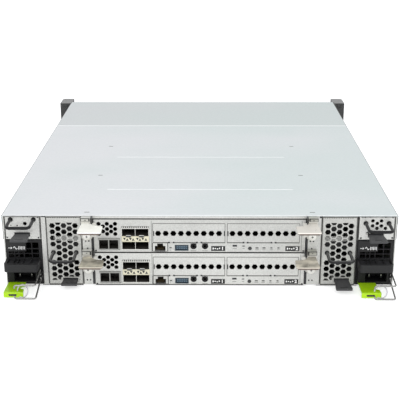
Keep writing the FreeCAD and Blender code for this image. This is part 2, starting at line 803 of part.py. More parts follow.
def make_controller_board(name, foot):
    y0 = rear
    sas = spans(sas_spans, controller_left)
    za, zb = foot + sas_levels[0], foot + sas_levels[1]
    sas_block = block(sas[0][0] - sas_wall, sas[1][1] + sas_wall, y0 + face_sheet, y0 + sas_length,
                      za - sas_wall, zb + sas_wall)
    sas_block = cut(sas_block, [block(a, b, y0 - 1, y0 + sas_length - 2, za, zb) for a, b in sas])
    cage_x0, cage_x1 = spans([cage_span], controller_left)[0]
    cage = block(cage_x0, cage_x1, y0 - cage_out, y0 - cage_out + cage_length,
                 foot + cage_levels[0], foot + cage_levels[1])
    cells = [block(xa, xb, y0 - cage_out - 1, y0 + cage_length - cage_end_wall, foot + low, foot + high)
             for xa, xb in spans(cage_cell_spans, controller_left) for low, high in cage_cell_levels]
    cage = cut(cage, cells)
    strip = block(cage_x0 + lamp_strip_sheet, cage_x1 - lamp_strip_sheet, y0 - cage_out - lamp_strip_sheet,
                  y0 - cage_out, foot + lamp_strip_levels[0], foot + lamp_strip_levels[1])
    xa, xb = spans([network_span], slot_starts[0])[0]
    network = block(xa, xb, y0 - network_out, y0 + network_length, foot + network_levels[0], foot + network_levels[1])
    xa, xb = spans([network_hole_span], slot_starts[0])[0]
    network = cut(network, [block(xa, xb, y0 - 2, y0 + network_hole_depth,
                                  foot + network_hole_levels[0], foot + network_hole_levels[1])])
    xa, xb = spans([usb_span], slot_starts[0])[0]
    za, zb = foot + usb_levels[0], foot + usb_levels[1]
    usb = block(xa, xb, y0 - usb_out, y0 + usb_length, za, zb)
    usb = cut(usb, [block(xa + usb_wall, xb - usb_wall, y0 - 2, y0 + usb_hole_depth, za + usb_wall, zb - usb_wall)])
    tongue = block(xa + usb_tongue_side, xb - usb_tongue_side, y0 + usb_tongue_back, y0 + usb_hole_depth,
                   za + usb_tongue_low, zb - usb_tongue_high)
    sockets = []
    for x in [slot_starts[0] + place for place in round_socket_places]:
        level = foot + round_socket_level
        body = disc(x, y0 - round_socket_out, level, round_socket_radius, round_socket_length, "y")
        flat = block(x - round_socket_radius - 1, x + round_socket_radius + 1, y0 - 1, y0 + face_sheet - port_gap,
                     level + round_socket_flat, level + round_socket_radius + 1)
        hole = disc(x, y0 - 1, level, round_socket_bore, round_socket_bore_depth, "y")
        sockets.append(cut(body, [flat, hole]))
    lamp = disc(slot_starts[1] + lamp_place, y0 - lamp_out, foot + lamp_level, lamp_radius, lamp_length, "y")
    low = foot + body_lift + can_sheet + rest_gap
    half = controller_width / 2 - controller_board_gap
    board = block(-half, half, y0 + face_sheet + sheet, module_rear - board_rear_room, low, low + board_thick)
    ports = [sas_block, cage, network, usb, lamp] + sockets
    board = cut(board, [block(p.BoundBox.XMin, p.BoundBox.XMax, p.BoundBox.YMin, p.BoundBox.YMax,
                              p.BoundBox.ZMin, p.BoundBox.ZMax) for p in ports])
    plugs = []
    for x in (-plug_x, plug_x):
        plug = block(x - plug_half, x + plug_half, module_rear - plug_length, module_rear,
                     foot + plug_levels[0], foot + plug_levels[1])
        riser = block(x - plug_half, x + plug_half, module_rear - plug_length, module_rear - board_rear_room,
                      low + board_thick, foot + plug_levels[0])
        plugs.append(join(plug, [riser]))
    start = rear + sink_start
    top = foot + controller_height - sink_drop
    sink = block(sink_centre - sink_half, sink_centre + sink_half, start, start + sink_length,
                 low + board_thick, top)
    first = sink_centre - sink_half + (fin_pitch - fin_slot) / 2
    fins = [block(first + fin_pitch * k, first + fin_pitch * k + fin_slot, start - 1, start + sink_length + 1,
                  low + board_thick + fin_base, top + 1) for k in range(int(2 * sink_half / fin_pitch))]
    save(name, [board, strip, tongue, cut(sink, fins)] + ports + plugs)


def make_ejector(name, foot, side):
    """A flat lever: an arm out of the column, a wing over the controller and a toe in the column's window."""
    level = foot + lever_level
    y0 = rear
    inner, throat, tip = lever_inner, lever_throat, -wing_reach
    outline = [(inner, lever_start), (lever_outer, lever_start), (lever_front_outer, lever_reach),
               (tip, lever_reach), (tip + 0.2, wing_start + wing_slant), (throat, wing_start),
               (throat, throat_start), (inner, throat_start - throat_slant)]
    outline = [(side * (column_inner + across), y0 - out) for across, out in outline]
    plate = prism(outline, "z", level - lever_sheet, level)
    plate = soften(plate, lever_corner, lambda middle, way: abs(way.z) > 0.9
                   and middle.y < y0 - wing_start - wing_slant + 0.5)
    toe = side_block(side, lever_pivot - toe_half, lever_pivot + toe_half, y0 - 1.5, y0 + toe_length,
                     level - lever_sheet, level)
    lip = side_block(side, column_inner + tip + 2, column_inner + lever_front_outer - 2,
                     y0 - lever_reach, y0 - lever_reach + lip_sheet, level - lever_sheet - lip_drop, level - 1)
    bore = disc(side * lever_pivot, y0 - pivot_reach, level - lever_sheet - 1, pin_radius + pin_clearance,
                lever_sheet + 2, "z")
    save(name, [cut(join(plate, [toe, lip]), [bore])])


# ---- latch tabs and handles ----
def make_tab(centre, level, back_width, front_width, reach):
    """A latch tab: a flat tongue widening outwards, on a knuckle that turns on a pin along X."""
    y0 = rear
    half = back_width / 2
    outline = [(centre - half, y0 + tab_back), (centre + half, y0 + tab_back),
               (centre + half, y0 - tab_back), (centre + front_width / 2, y0 - reach),
               (centre - front_width / 2, y0 - reach), (centre - half, y0 - tab_back)]
    tongue = prism(outline, "z", level - tab_sheet, level)
    tongue = soften(tongue, lever_corner, lambda middle, way: abs(way.z) > 0.9 and middle.y < y0 - reach + 1)
    slot_start, slot_end, slot_half, slot_depth = tab_slot
    slot = block(centre - slot_half, centre + slot_half, y0 - reach + slot_start, y0 - reach + slot_end,
                 level - slot_depth, level + 1)
    axis_z = level - tab_sheet / 2
    pin = disc(centre - half - tab_root, y0 + tab_hinge, axis_z, tab_pin_radius, back_width + 2 * tab_root, "x")
    knuckle = disc(centre - half, y0 + tab_hinge, axis_z, tab_knuckle_radius, back_width, "x")
    return join(cut(tongue, [slot]), [knuckle, pin])


def tab_window(centre, level, back_width, y0, y1):
    half = back_width / 2 + tab_side_gap
    return block(centre - half, centre + half, y0, y1, level - tab_sheet - tab_room, level + tab_room)


def tab_lugs(centre, level, back_width, y0):
    """Two ears behind the face plate that hold the tab's pin."""
    lugs = []
    axis_z = level - tab_sheet / 2
    near, far = back_width / 2 + tab_side_gap + 0.1, back_width / 2 + tab_root
    for side in (-1, 1):
        a, b = sorted((centre + side * near, centre + side * far))
        lug = block(a, b, y0, y0 + lug_length, axis_z - lug_half, axis_z + lug_half)
        bore = disc(a - 1, rear + tab_hinge, axis_z, tab_pin_radius + pin_clearance, b - a + 2, "x")
        lugs.append(cut(lug, [bore]))
    return lugs


def make_bar(centre, level):
    """A round bar bent into a U, standing out from the face on two collars."""
    y0 = rear
    half = bar_span / 2
    points = [(centre - half, y0, level), (centre - half, y0 - bar_reach, level),
              (centre + half, y0 - bar_reach, level), (centre + half, y0, level)]
    rod = rounded_rod(points, bar_bend, bar_radius)
    collars = [disc(centre + s * half, y0 - collar_height, level, bar_radius + collar_rim, collar_height, "y")
               for s in (-1, 1)]
    return join(rod, collars)


# ---- fan modules ----
def make_fan_case(name, centre):
    y0, y1 = rear, rear + face_sheet
    half = fan_width / 2
    top = fan_foot + fan_height
    face = block(centre - half, centre + half, y0, y1, fan_foot, top)
    field = block(centre - half + hex_side_margin, centre + half - hex_side_margin, y0 - 1, y1 + 1,
                  hex_bottom, hex_top)
    tab_centre = centre + fan_tab_shift
    window = tab_window(tab_centre, fan_tab_level, fan_tab_back, y0 - 1, y1 + 1)
    keep_half = fan_tab_back / 2 + 2
    keep = block(tab_centre - keep_half, tab_centre + keep_half, y0 - 2, y1 + 2, 0, fan_tab_level + tab_clear)
    cells = []
    for column in range(-2, 3):
        first = hex_top - hex_shift if column % 2 == 0 else hex_top
        count = int((first - hex_bottom) / hex_pitch) + 2
        for k in range(count):
            z = first - k * hex_pitch
            x = centre + column * hex_column
            if abs(column) == 2 and abs(z - fan_handle_level + 1) < handle_clear:
                continue
            cell = hexagon(x, z, hex_flat, y0 - 1, y1 + 1)
            if z + hex_flat / 2 > hex_top or z - hex_flat / 2 < hex_bottom:
                cell = cell.common(field)
            if abs(x - tab_centre) < keep_half + tab_zone_side and z < fan_tab_level + tab_zone_top:
                cell = cell.cut(keep)
            if cell.Volume > hex_smallest:
                cells += cell.Solids
    face = cut(face, cells + [window])
    low, high = sheet + rest_gap, top - can_top_gap
    can_half = half - can_side_gap
    end = rear + fan_length
    outer = block(centre - can_half, centre + can_half, y1, end, low, high)
    inner_half = can_half - can_sheet
    inner = block(centre - inner_half, centre + inner_half, y1 - 1, end + 1, low + can_sheet, high - can_sheet)
    case = join(face, [cut(outer, [inner])])
    lugs = tab_lugs(tab_centre, fan_tab_level, fan_tab_back, y1)
    ya = rear + fan_inset
    frame_half = fan_frame / 2
    wall = block(centre - inner_half, centre + inner_half, ya, ya + fan_wall, low + can_sheet, high - can_sheet)
    frames = [block(centre - frame_half, centre + frame_half, ya, ya + fan_depth,
                    level - frame_half, level + frame_half) for level in fan_levels]
    bores = [disc(centre, ya - 1, level, fan_bore, fan_depth + 2, "y") for level in fan_levels]
    frame = cut(join(wall, frames), bores)
    y_strut = ya + fan_depth - strut_depth
    arm = fan_bore + 0.5
    for level in fan_levels:
        struts = [block(centre - arm, centre + arm, y_strut, y_strut + strut_depth,
                        level - strut / 2, level + strut / 2),
                  block(centre - strut / 2, centre + strut / 2, y_strut, y_strut + strut_depth,
                        level - arm, level + arm)]
        hub = disc(centre, y_strut, level, hub_radius, strut_depth, "y")
        shaft = disc(centre, ya + shaft_start, level, shaft_radius, fan_depth - shaft_start - 1, "y")
        frame = join(frame, struts + [hub, shaft])
    save(name, [case, frame] + lugs)


def soften_rim(cylinder, radius):
    rims = [edge for edge in cylinder.Edges if edge.Curve.TypeId == "Part::GeomCircle"
            and edge.CenterOfMass.y < cylinder.BoundBox.YMin + 0.1]
    return cylinder.makeChamfer(radius, rims)


def make_rotor(name, centre, level):
    """Seven twisted blades on a cup hub, on the fan's fixed shaft."""
    y0 = rear + fan_inset + rotor_start
    hub = soften_rim(disc(centre, y0, level, hub_radius, rotor_length, "y"), hub_chamfer)
    blade = prism([(across, y0 + along) for across, along in blade_line], "z", hub_radius - 1.5, fan_bore + 1)
    limit = disc(0, y0 - 1, 0, fan_bore - blade_gap, rotor_length + 2, "y")
    blade = blade.common(limit)
    blades = []
    for k in range(blade_count):
        turned = blade.copy()
        turned.rotate(FreeCAD.Vector(0, 0, 0), FreeCAD.Vector(0, 1, 0), 360.0 * k / blade_count)
        turned.translate(FreeCAD.Vector(centre, 0, level))
        blades.append(turned)
    bore = disc(centre, y0 - 1, level, shaft_radius + pin_clearance, rotor_length + 2, "y")
    save(name, [cut(join(hub, blades), [bore])])


# ---- power supplies ----
def make_supply(name, centre):
    y0, y1 = rear, rear + supply_bezel
    half = supply_width / 2
    plate = block(centre - half, centre + half, y0, y1, supply_foot, supply_top)
    plate = soften(plate, supply_corner, lambda middle, way: abs(way.y) < 0.1 and middle.y < y0 + 0.1)
    visor = block(centre + visor_left, centre + visor_right, y0 - visor_reach, y0 + 1, visor_low, visor_high)
    visor = soften(visor, visor_corner, lambda middle, way: abs(way.z) > 0.9 and middle.y < y0 - visor_reach + 1)
    inside = [centre + visor_left + visor_wall, centre + visor_right - visor_wall]
    hollow_front = y0 - visor_reach + visor_wall
    hollow_top = visor_high - visor_wall
    under = block(*inside, hollow_front, y0 - inlet_reach - 1, visor_low - 1, hollow_top)
    above_inlet = block(*inside, hollow_front, y0 + 0.5, visor_low + inlet_wall, hollow_top)
    visor = cut(visor, [under, above_inlet])
    lower = block(centre + inlet_block[0], centre + inlet_block[1], y0 - inlet_reach, y0 + 1, block_low, visor_low + 1)
    cup_left, cup_right = centre + inlet_x - inlet_half, centre + inlet_x + inlet_half
    cup = block(cup_left - inlet_wall, cup_right + inlet_wall, y0 + 1, y0 + inlet_depth + 2,
                block_low, visor_low + inlet_wall)
    cavity = block(cup_left, cup_right, y0 - inlet_reach - 1, y0 + inlet_depth, inlet_low, visor_low)
    hinge_x, hinge_y = centre + clip_hinge_x, y0 - clip_hinge_out
    lugs = []
    for z0 in (hinge_low + clip_lug_inset, hinge_high - clip_lug_inset - clip_lug_tall):
        lug = block(hinge_x - clip_lug_half, hinge_x + clip_lug_half, hinge_y - clip_lug_half, y0 + 1,
                    z0, z0 + clip_lug_tall)
        lugs.append(soften(lug, clip_lug_corner, lambda middle, way: abs(way.z) > 0.9 and middle.y < y0 - 2))
    bezel = join(plate, [visor, lower, cup] + lugs)
    tools = [cavity, disc(hinge_x, hinge_y, hinge_low - 1, wire_radius + clip_play, hinge_high - hinge_low + 2, "z")]
    room = supply_top - visor_high
    for k in range(len(grid_edges) - 1):
        x0, x1 = centre + grid_edges[k] + grid_bar / 2, centre + grid_edges[k + 1] - grid_bar / 2
        for low, high in grid_right_rows if k >= grid_right_from else grid_left_rows:
            tools.append(block(x0, x1, y0 - 1, y1 + 1, visor_high + low * room, visor_high + high * room))
        tools.append(block(x0, x1, y0 - visor_reach + visor_slot_front, y0 - visor_slot_back,
                           hollow_top - 1, visor_high + 1))
    release_low = release_level - release_sheet
    tools.append(block(centre + release_left - 0.7, centre + release_window_right, y0 - 1, y1 + 0.01,
                       release_low - release_play, release_level + release_play))
    bezel = cut(bezel, tools)
    pivot_y = y0 + release_pivot_in
    pivot = disc(centre + release_pivot_x, pivot_y, release_low - 1.5, release_pin_radius,
                 block_low - release_low + 1.5 + 0.5, "z")
    foot = block(centre + release_pivot_x - release_foot_half, centre + release_pivot_x + release_foot_half,
                 y1 - 0.01, y1 + release_foot_half, release_low - release_foot_drop, release_low - rest_gap)
    bezel = join(bezel, [pivot, foot])
    blades = [block(centre + inlet_x + dx - blade_wide / 2, centre + inlet_x + dx + blade_wide / 2,
                    y0 - blade_out, y0 + inlet_depth, z - blade_tall / 2, z + blade_tall / 2)
              for dx, z in blade_places]
    low, high = sheet + rest_gap, supply_top - supply_can_drop
    can_half = half - can_side_gap
    outer = block(centre - can_half, centre + can_half, y1, module_rear, low, high)
    inner = block(centre - can_half + can_sheet, centre + can_half - can_sheet, y1 - 1,
                  module_rear - can_sheet, low + can_sheet, high - can_sheet)
    save(name, [bezel, cut(outer, [inner])] + blades)


def make_release(name, centre):
    """The supply's release lever: a flat tongue with a side notch and a front lip turned down to the floor."""
    y0 = rear
    z1 = release_level
    z0 = release_level - release_sheet
    back = y0 + supply_bezel + 1.0
    outline = [(release_left + 0.3, back), (release_neck, back), (release_neck, y0 - release_neck_out),
               (release_right, y0 - release_reach), (release_left, y0 - release_reach)]
    plate = prism([(centre + across, y) for across, y in outline], "z", z0, z1)
    pivot_x, pivot_y = centre + release_pivot_x, y0 + release_pivot_in
    root = disc(pivot_x, pivot_y, z0, release_root_radius, release_sheet, "z")
    lip = block(centre + release_left, centre + release_right, y0 - release_reach,
                y0 - release_reach + release_lip_sheet, release_lip_low, z0 + 0.5)
    release = join(plate, [root, lip])
    release = soften(release, release_edge, lambda middle, way: abs(way.x) > 0.9
                     and middle.y < y0 - release_reach + 0.1 and middle.z > z1 - 0.1)
    notch = disc(centre + release_right - notch_inset, y0 - notch_out, z0 - 1, notch_radius, release_sheet + 3, "z")
    left, right, low, high = release_slot
    slot = block(centre + left, centre + right, y0 - release_reach - 1, y0 - release_reach + release_lip_sheet + 1,
                 low, high)
    bore = disc(pivot_x, pivot_y, z0 - 1, release_pin_radius + pin_clearance, release_sheet + 3, "z")
    save(name, [cut(release, [notch, slot, bore])])


def make_clip(name, centre):
    """The cord clip: one run of wire turning on its upright side, with its two free ends side by side at the left."""
    hinge_y = rear - clip_hinge_out
    far_y = rear - clip_reach
    points = [(clip_far_x, far_y + clip_lean, clip_high - clip_hook), (clip_far_x, far_y + clip_lean, clip_high),
              (clip_hinge_x, far_y + clip_lean, clip_high), (clip_hinge_x, hinge_y, hinge_high),
              (clip_hinge_x, hinge_y, hinge_low), (clip_hinge_x, far_y, clip_low),
              (clip_far_x, far_y, clip_low), (clip_far_x, far_y, clip_low + clip_hook)]
    points = [(centre + x, y, z) for x, y, z in points]
    save(name, [rounded_rod(points, wire_bend, wire_radius)])


# ---- battery modules ----
def make_battery(name, centre, vents, bar_level, tab_level):
    y0, y1 = rear, rear + face_sheet
    half = battery_width / 2
    face = block(centre - half, centre + half, y0, y1, battery_foot - 0.1, battery_top)
    holes = [disc(centre + x, y0 - 1, battery_top - drop, radius, face_sheet + 2, "y") for x, drop, radius in vents]
    tab_centre = centre + battery_tab_shift
    face = cut(face, holes + [tab_window(tab_centre, tab_level, battery_tab_back, y0 - 1, y1 + 1)])
    can_half = half - can_side_gap
    high = battery_top - can_top_gap
    outer = block(centre - can_half, centre + can_half, y1, module_rear, battery_foot, high)
    inner = block(centre - can_half + can_sheet, centre + can_half - can_sheet, y1 - 1,
                  module_rear - can_sheet, battery_foot + can_sheet, high - can_sheet)
    case = join(face, [cut(outer, [inner])])
    save(name, [case, make_bar(centre, bar_level)] + tab_lugs(tab_centre, tab_level, battery_tab_back, y1))


os.makedirs("parts", exist_ok=True)
make_tray()
make_cover("rear_cover", rear, seam, True)
make_cover("front_cover", seam + seam_gap, front, False)
make_partitions()
make_ear("ear_left", -1)
make_ear("ear_right", 1)
make_cage()
make_midplane()
for number, x, z in drive_places():
    make_drive(number, x, z)
    make_drive_lever(number, x, z)
for word, foot in (("lower", lower_foot), ("upper", upper_foot)):
    make_controller(word + "_controller_case", foot)
    make_controller_board(word + "_controller_board", foot)
    make_ejector(word + "_ejector_left", foot, -1)
    make_ejector(word + "_ejector_right", foot, 1)
for word, centre, reach in (("left", left_fan_centre, left_fan_tab_reach),
                            ("right", right_fan_centre, right_fan_tab_reach)):
    make_fan_case("fan_%s_case" % word, centre)
    save("fan_%s_handle" % word, [make_bar(centre, fan_handle_level)])
    tab = make_tab(centre + fan_tab_shift, fan_tab_level, fan_tab_back, fan_tab_front, reach)
    save("fan_%s_latch" % word, [tab])
    for position, level in zip(("lower", "upper"), fan_levels):
        make_rotor("fan_%s_%s_rotor" % (word, position), centre, level)
for word, side, vents, drop, rise in (
        ("left", -1, left_vents, left_battery_bar_drop, left_battery_tab_rise),
        ("right", 1, right_vents, right_battery_bar_drop, right_battery_tab_rise)):
    centre = side * supply_centre
    make_supply("supply_%s_case" % word, centre)
    make_release("supply_%s_release" % word, centre)
    make_clip("supply_%s_clip" % word, centre)
    tab_level = battery_foot + rise
    make_battery("battery_%s_case" % word, centre, vents, battery_top - drop, tab_level)
    save("battery_%s_latch" % word, [make_tab(centre + battery_tab_shift, tab_level, battery_tab_back,
                                              battery_tab_front, battery_tab_reach)])
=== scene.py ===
import math
import bmesh
import bpy
import numpy as np
from mathutils import Matrix, Vector


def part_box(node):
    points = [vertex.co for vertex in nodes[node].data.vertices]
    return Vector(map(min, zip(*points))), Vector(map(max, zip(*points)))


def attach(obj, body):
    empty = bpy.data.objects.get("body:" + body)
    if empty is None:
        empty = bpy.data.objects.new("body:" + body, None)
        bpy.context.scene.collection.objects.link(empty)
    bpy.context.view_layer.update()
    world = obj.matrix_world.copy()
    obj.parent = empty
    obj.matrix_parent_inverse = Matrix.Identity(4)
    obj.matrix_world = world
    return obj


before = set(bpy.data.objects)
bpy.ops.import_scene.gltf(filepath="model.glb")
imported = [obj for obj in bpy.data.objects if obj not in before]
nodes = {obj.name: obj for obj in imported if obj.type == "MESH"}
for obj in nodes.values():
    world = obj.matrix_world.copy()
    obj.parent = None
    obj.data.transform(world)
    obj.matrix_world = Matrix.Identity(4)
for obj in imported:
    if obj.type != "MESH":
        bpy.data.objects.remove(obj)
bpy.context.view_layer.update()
print("frame loaded:", len(nodes), "nodes")

viewSet = {"place": (0.008537, -1.232035, 0.437359), "pitch": 0.336381, "yaw": 0.0082879, "roll": -0.001465,
           "lens": 81.246, "sensor": 36.0, "nearest": 0.05, "farthest": 60}
stageSet = {"worldTint": (0.95, 0.97, 1, 1), "worldLight": 0.62, "floorSize": 14.0, "floorDrop": 0.0004,
            "floorGrey": (0.86, 0.86, 0.86, 1), "floorGlow": 0.55}
lampSet = {
    "keyLight": {"place": (-0.9, -1.9, 1.5), "target": (0, -0.1, 0.05), "size": (1.6, 1.2), "power": 17.0},
    "fillLight": {"place": (1.3, -1.6, 0.8), "target": (0, -0.1, 0.05), "size": (1.4, 1.0), "power": 9.0},
    "topLight": {"place": (0, 0.3, 2.0), "target": (0, 0, 0), "size": (2.0, 1.6), "power": 9.0}}


def makeCamera(s):
    camera = bpy.data.objects.new("viewCamera", bpy.data.cameras.new("viewCamera"))
    bpy.context.scene.collection.objects.link(camera)
    cp, sp = math.cos(s["pitch"]), math.sin(s["pitch"])
    cy, sy = math.cos(s["yaw"]), math.sin(s["yaw"])
    cr, sr = math.cos(s["roll"]), math.sin(s["roll"])
    turn = Matrix(((cy, sy, 0), (-sy, cy, 0), (0, 0, 1)))
    tilt = Matrix(((1, 0, 0), (0, cp, -sp), (0, sp, cp)))
    lean = Matrix(((cr, 0, sr), (0, 1, 0), (-sr, 0, cr)))
    right, ahead, up = lean @ tilt @ turn
    rows = [(right[k], up[k], -ahead[k], s["place"][k]) for k in range(3)]
    camera.matrix_world = Matrix(rows + [(0, 0, 0, 1)])
    camera.data.sensor_width = s["sensor"]
    camera.data.lens = s["lens"]
    camera.data.clip_start = s["nearest"]
    camera.data.clip_end = s["farthest"]
    bpy.context.scene.camera = camera


def areaLight(name, s):
    lamp = bpy.data.lights.new(name, "AREA")
    lamp.shape = "RECTANGLE"
    lamp.size, lamp.size_y = s["size"]
    lamp.energy = s["power"]
    holder = bpy.data.objects.new(name, lamp)
    bpy.context.scene.collection.objects.link(holder)
    aim = (Vector(s["target"]) - Vector(s["place"])).to_track_quat("-Z", "Y")
    holder.matrix_world = Matrix.Translation(s["place"]) @ aim.to_matrix().to_4x4()


# a new shader node; each named input takes a plain value or a link from another node's output
def addNode(tree, kind, inputs, **settings):
    node = tree.nodes.new("ShaderNode" + kind)
    for key, value in settings.items():
        setattr(node, key, value)
    for key, value in inputs.items():
        if isinstance(value, bpy.types.NodeSocket):
            tree.links.new(value, node.inputs[key])
        else:
            node.inputs[key].default_value = value
    return node


def rayIsSeen(tree):  # 1 for a camera, glossy or transmission ray, else 0
    path = addNode(tree, "LightPath", {})
    seen = path.outputs["Is Camera Ray"]
    for other in ("Is Glossy Ray", "Is Transmission Ray"):
        seen = addNode(tree, "Math", {0: seen, 1: path.outputs[other]}, operation="MAXIMUM").outputs[0]
    return seen


def makeStage(s):
    world = bpy.data.worlds.new("studio")
    world.use_nodes = True
    tree = world.node_tree
    tree.nodes.clear()
    soft = addNode(tree, "Background", {"Color": s["worldTint"], "Strength": s["worldLight"]})
    white = addNode(tree, "Background", {"Color": (1, 1, 1, 1), "Strength": 1.0})
    mix = addNode(tree, "MixShader", {0: rayIsSeen(tree), 1: soft.outputs[0], 2: white.outputs[0]})
    addNode(tree, "OutputWorld", {0: mix.outputs[0]})
    bpy.context.scene.world = world

    half = s["floorSize"] / 2
    mesh = bpy.data.meshes.new("floor")
    corners = [(-half, -half, 0), (half, -half, 0), (half, half, 0), (-half, half, 0)]
    mesh.from_pydata(corners, [], [(0, 1, 2, 3)])
    floor = bpy.data.objects.new("floor", mesh)
    bpy.context.scene.collection.objects.link(floor)
    floor.location.z = -s["floorDrop"]
    paint = bpy.data.materials.new("paleFloor")
    paint.use_nodes = True
    tree = paint.node_tree
    tree.nodes.clear()
    matt = addNode(tree, "BsdfDiffuse", {"Color": s["floorGrey"]})
    plain = addNode(tree, "BsdfDiffuse", {"Color": s["floorGrey"]})
    glow = addNode(tree, "Emission", {"Color": (1, 1, 1, 1), "Strength": s["floorGlow"]})
    both = addNode(tree, "AddShader", {0: matt.outputs[0], 1: glow.outputs[0]})
    mix = addNode(tree, "MixShader", {0: rayIsSeen(tree), 1: plain.outputs[0], 2: both.outputs[0]})
    addNode(tree, "OutputMaterial", {0: mix.outputs[0]})
    floor.data.materials.append(paint)
    bpy.context.scene.view_settings.view_transform = "Standard"


makeCamera(viewSet)
makeStage(stageSet)
for name, values in lampSet.items():
    areaLight(name, values)
print("stage and lamps made")

glossSockets = {"roughness": "Roughness", "metallic": "Metallic", "specular": "Specular IOR Level"}


def newFinish(name, s):
    finish = bpy.data.materials.new(name)
    finish.use_nodes = True
    tree = finish.node_tree
    shader = tree.nodes["Principled BSDF"]
    shader.inputs["Base Color"].default_value = tuple(s["colour"]) + (1,)
    for key, socketName in glossSockets.items():
        shader.inputs[socketName].default_value = s[key]
    return finish, tree, shader, addNode(tree, "TexCoord", {}).outputs["Object"]


def stretchedNoise(tree, coords, scale, detail=3.0, stretch=(1, 1, 1), rough=0.5):
    mapping = addNode(tree, "Mapping", {"Vector": coords, "Scale": stretch})
    noise = addNode(tree, "TexNoise", {"Vector": mapping.outputs[0], "Scale": scale, "Detail": detail,
                                       "Roughness": rough})
    return noise.outputs["Fac"]


# straight line from low to high while the value goes from fromMin to fromMax
def ramp(tree, value, low, high, fromMin=0.3, fromMax=0.7):
    return addNode(tree, "MapRange", {"Value": value, "From Min": fromMin, "From Max": fromMax, "To Min": low,
                                      "To Max": high}).outputs["Result"]


def blendColour(tree, factor, first, second):  # each colour is three numbers or the output of a node
    first, second = (c + (1,) if isinstance(c, tuple) else c for c in (first, second))
    return addNode(tree, "Mix", {0: factor, 6: first, 7: second}, data_type="RGBA").outputs[2]


def bumpFrom(tree, shader, height, strength, distance):
    bump = addNode(tree, "Bump", {"Height": height, "Strength": strength, "Distance": distance})
    tree.links.new(bump.outputs[0], shader.inputs["Normal"])


# values that a finish has unless its own dictionary says otherwise
sheetBase = {"specular": 0.5, "grainStretch": (1, 1, 1), "grainDetail": 4, "markScale": 6, "markDetail": 6,
             "markRough": 0.75, "markShare": 1.6, "markRange": (0.62, 0.8), "driftScale": 4.5,
             "driftStretch": (1, 1.6, 1), "drift": 0.45, "tiltWide": 0.2, "tilt": (0.15, 0.85),
             "tintShare": 0.75, "glossFall": 0.07, "glossRise": 0.09, "bumpDeep": 0.0001}
mouldedBase = {"metallic": 0.0, "specular": 0.45, "cloudScale": 35, "lift": 0.004, "glossFall": 0.06,
               "glossRise": 0.08, "bumpDeep": 0.00008}


def roughen(tree, shader, grain, s):  # the grain moves the roughness a little and makes the bumps
    low, high = s["roughness"] - s["glossFall"], s["roughness"] + s["glossRise"]
    tree.links.new(ramp(tree, grain, low, high), shader.inputs["Roughness"])
    bumpFrom(tree, shader, grain, s["bump"], s["bumpDeep"])


# rolled or painted sheet: fine grain along the rolling direction, cloudy tone, a few handling marks;
# with two tints the tone also drifts from the first to the second across the part, left to right
def sheetFinish(name, values):
    s = {**sheetBase, **values}
    finish, tree, shader, coords = newFinish(name, s)
    grain = stretchedNoise(tree, coords, s["grainScale"], s["grainDetail"], s["grainStretch"])
    cloud = stretchedNoise(tree, coords, s["cloudScale"])
    markScale = s["cloudScale"] * s["markScale"]
    marks = stretchedNoise(tree, coords, markScale, s["markDetail"], rough=s["markRough"])
    dark = tuple(c * (1 - s["variation"]) for c in s["colour"])
    light = tuple(min(1, c * (1 + s["variation"])) for c in s["colour"])
    tone = blendColour(tree, ramp(tree, cloud, 0, 1), dark, light)
    depth = s["variation"] * s["markShare"]
    tone = blendColour(tree, ramp(tree, marks, 0, depth, *s["markRange"]), tone, dark)
    if "tints" in s:
        side = addNode(tree, "SeparateXYZ", {0: coords}).outputs[0]
        drift = stretchedNoise(tree, coords, s["driftScale"], 2, s["driftStretch"])
        tilt = ramp(tree, side, *s["tilt"], -s["tiltWide"], s["tiltWide"])
        pair = {0: ramp(tree, drift, -s["drift"], s["drift"]), 1: tilt}
        total = addNode(tree, "Math", pair, operation="ADD", use_clamp=True)
        tone = blendColour(tree, s["tintShare"], tone, blendColour(tree, total.outputs[0], *s["tints"]))
    if "speckle" in s:
        noise = stretchedNoise(tree, coords, s["speckleScale"], 2)
        fleck = ramp(tree, noise, 1 - s["speckle"], 1 + s["speckle"])
        tone = addNode(tree, "VectorMath", {0: tone, "Scale": fleck}, operation="SCALE").outputs[0]
    tree.links.new(tone, shader.inputs["Base Color"])
    roughen(tree, shader, grain, s)
    return finish


# injection-moulded plastic: fine spark-eroded texture with slightly worn high spots
def mouldedFinish(name, values):
    s = {**mouldedBase, **values}
    finish, tree, shader, coords = newFinish(name, s)
    fine = stretchedNoise(tree, coords, s["grainScale"], 2)
    cloud = stretchedNoise(tree, coords, s["cloudScale"])
    light = tuple(min(1, c * (1 + s["variation"]) + s["lift"]) for c in s["colour"])
    tone = blendColour(tree, ramp(tree, cloud, 0, 1), s["colour"], light)
    tree.links.new(tone, shader.inputs["Base Color"])
    roughen(tree, shader, fine, s)
    return finish


def makeFinish(name, values):  # values with a metallic share make a sheet, any others a moulding
    maker = sheetFinish if "metallic" in values else mouldedFinish
    return maker(name + "Finish", values)


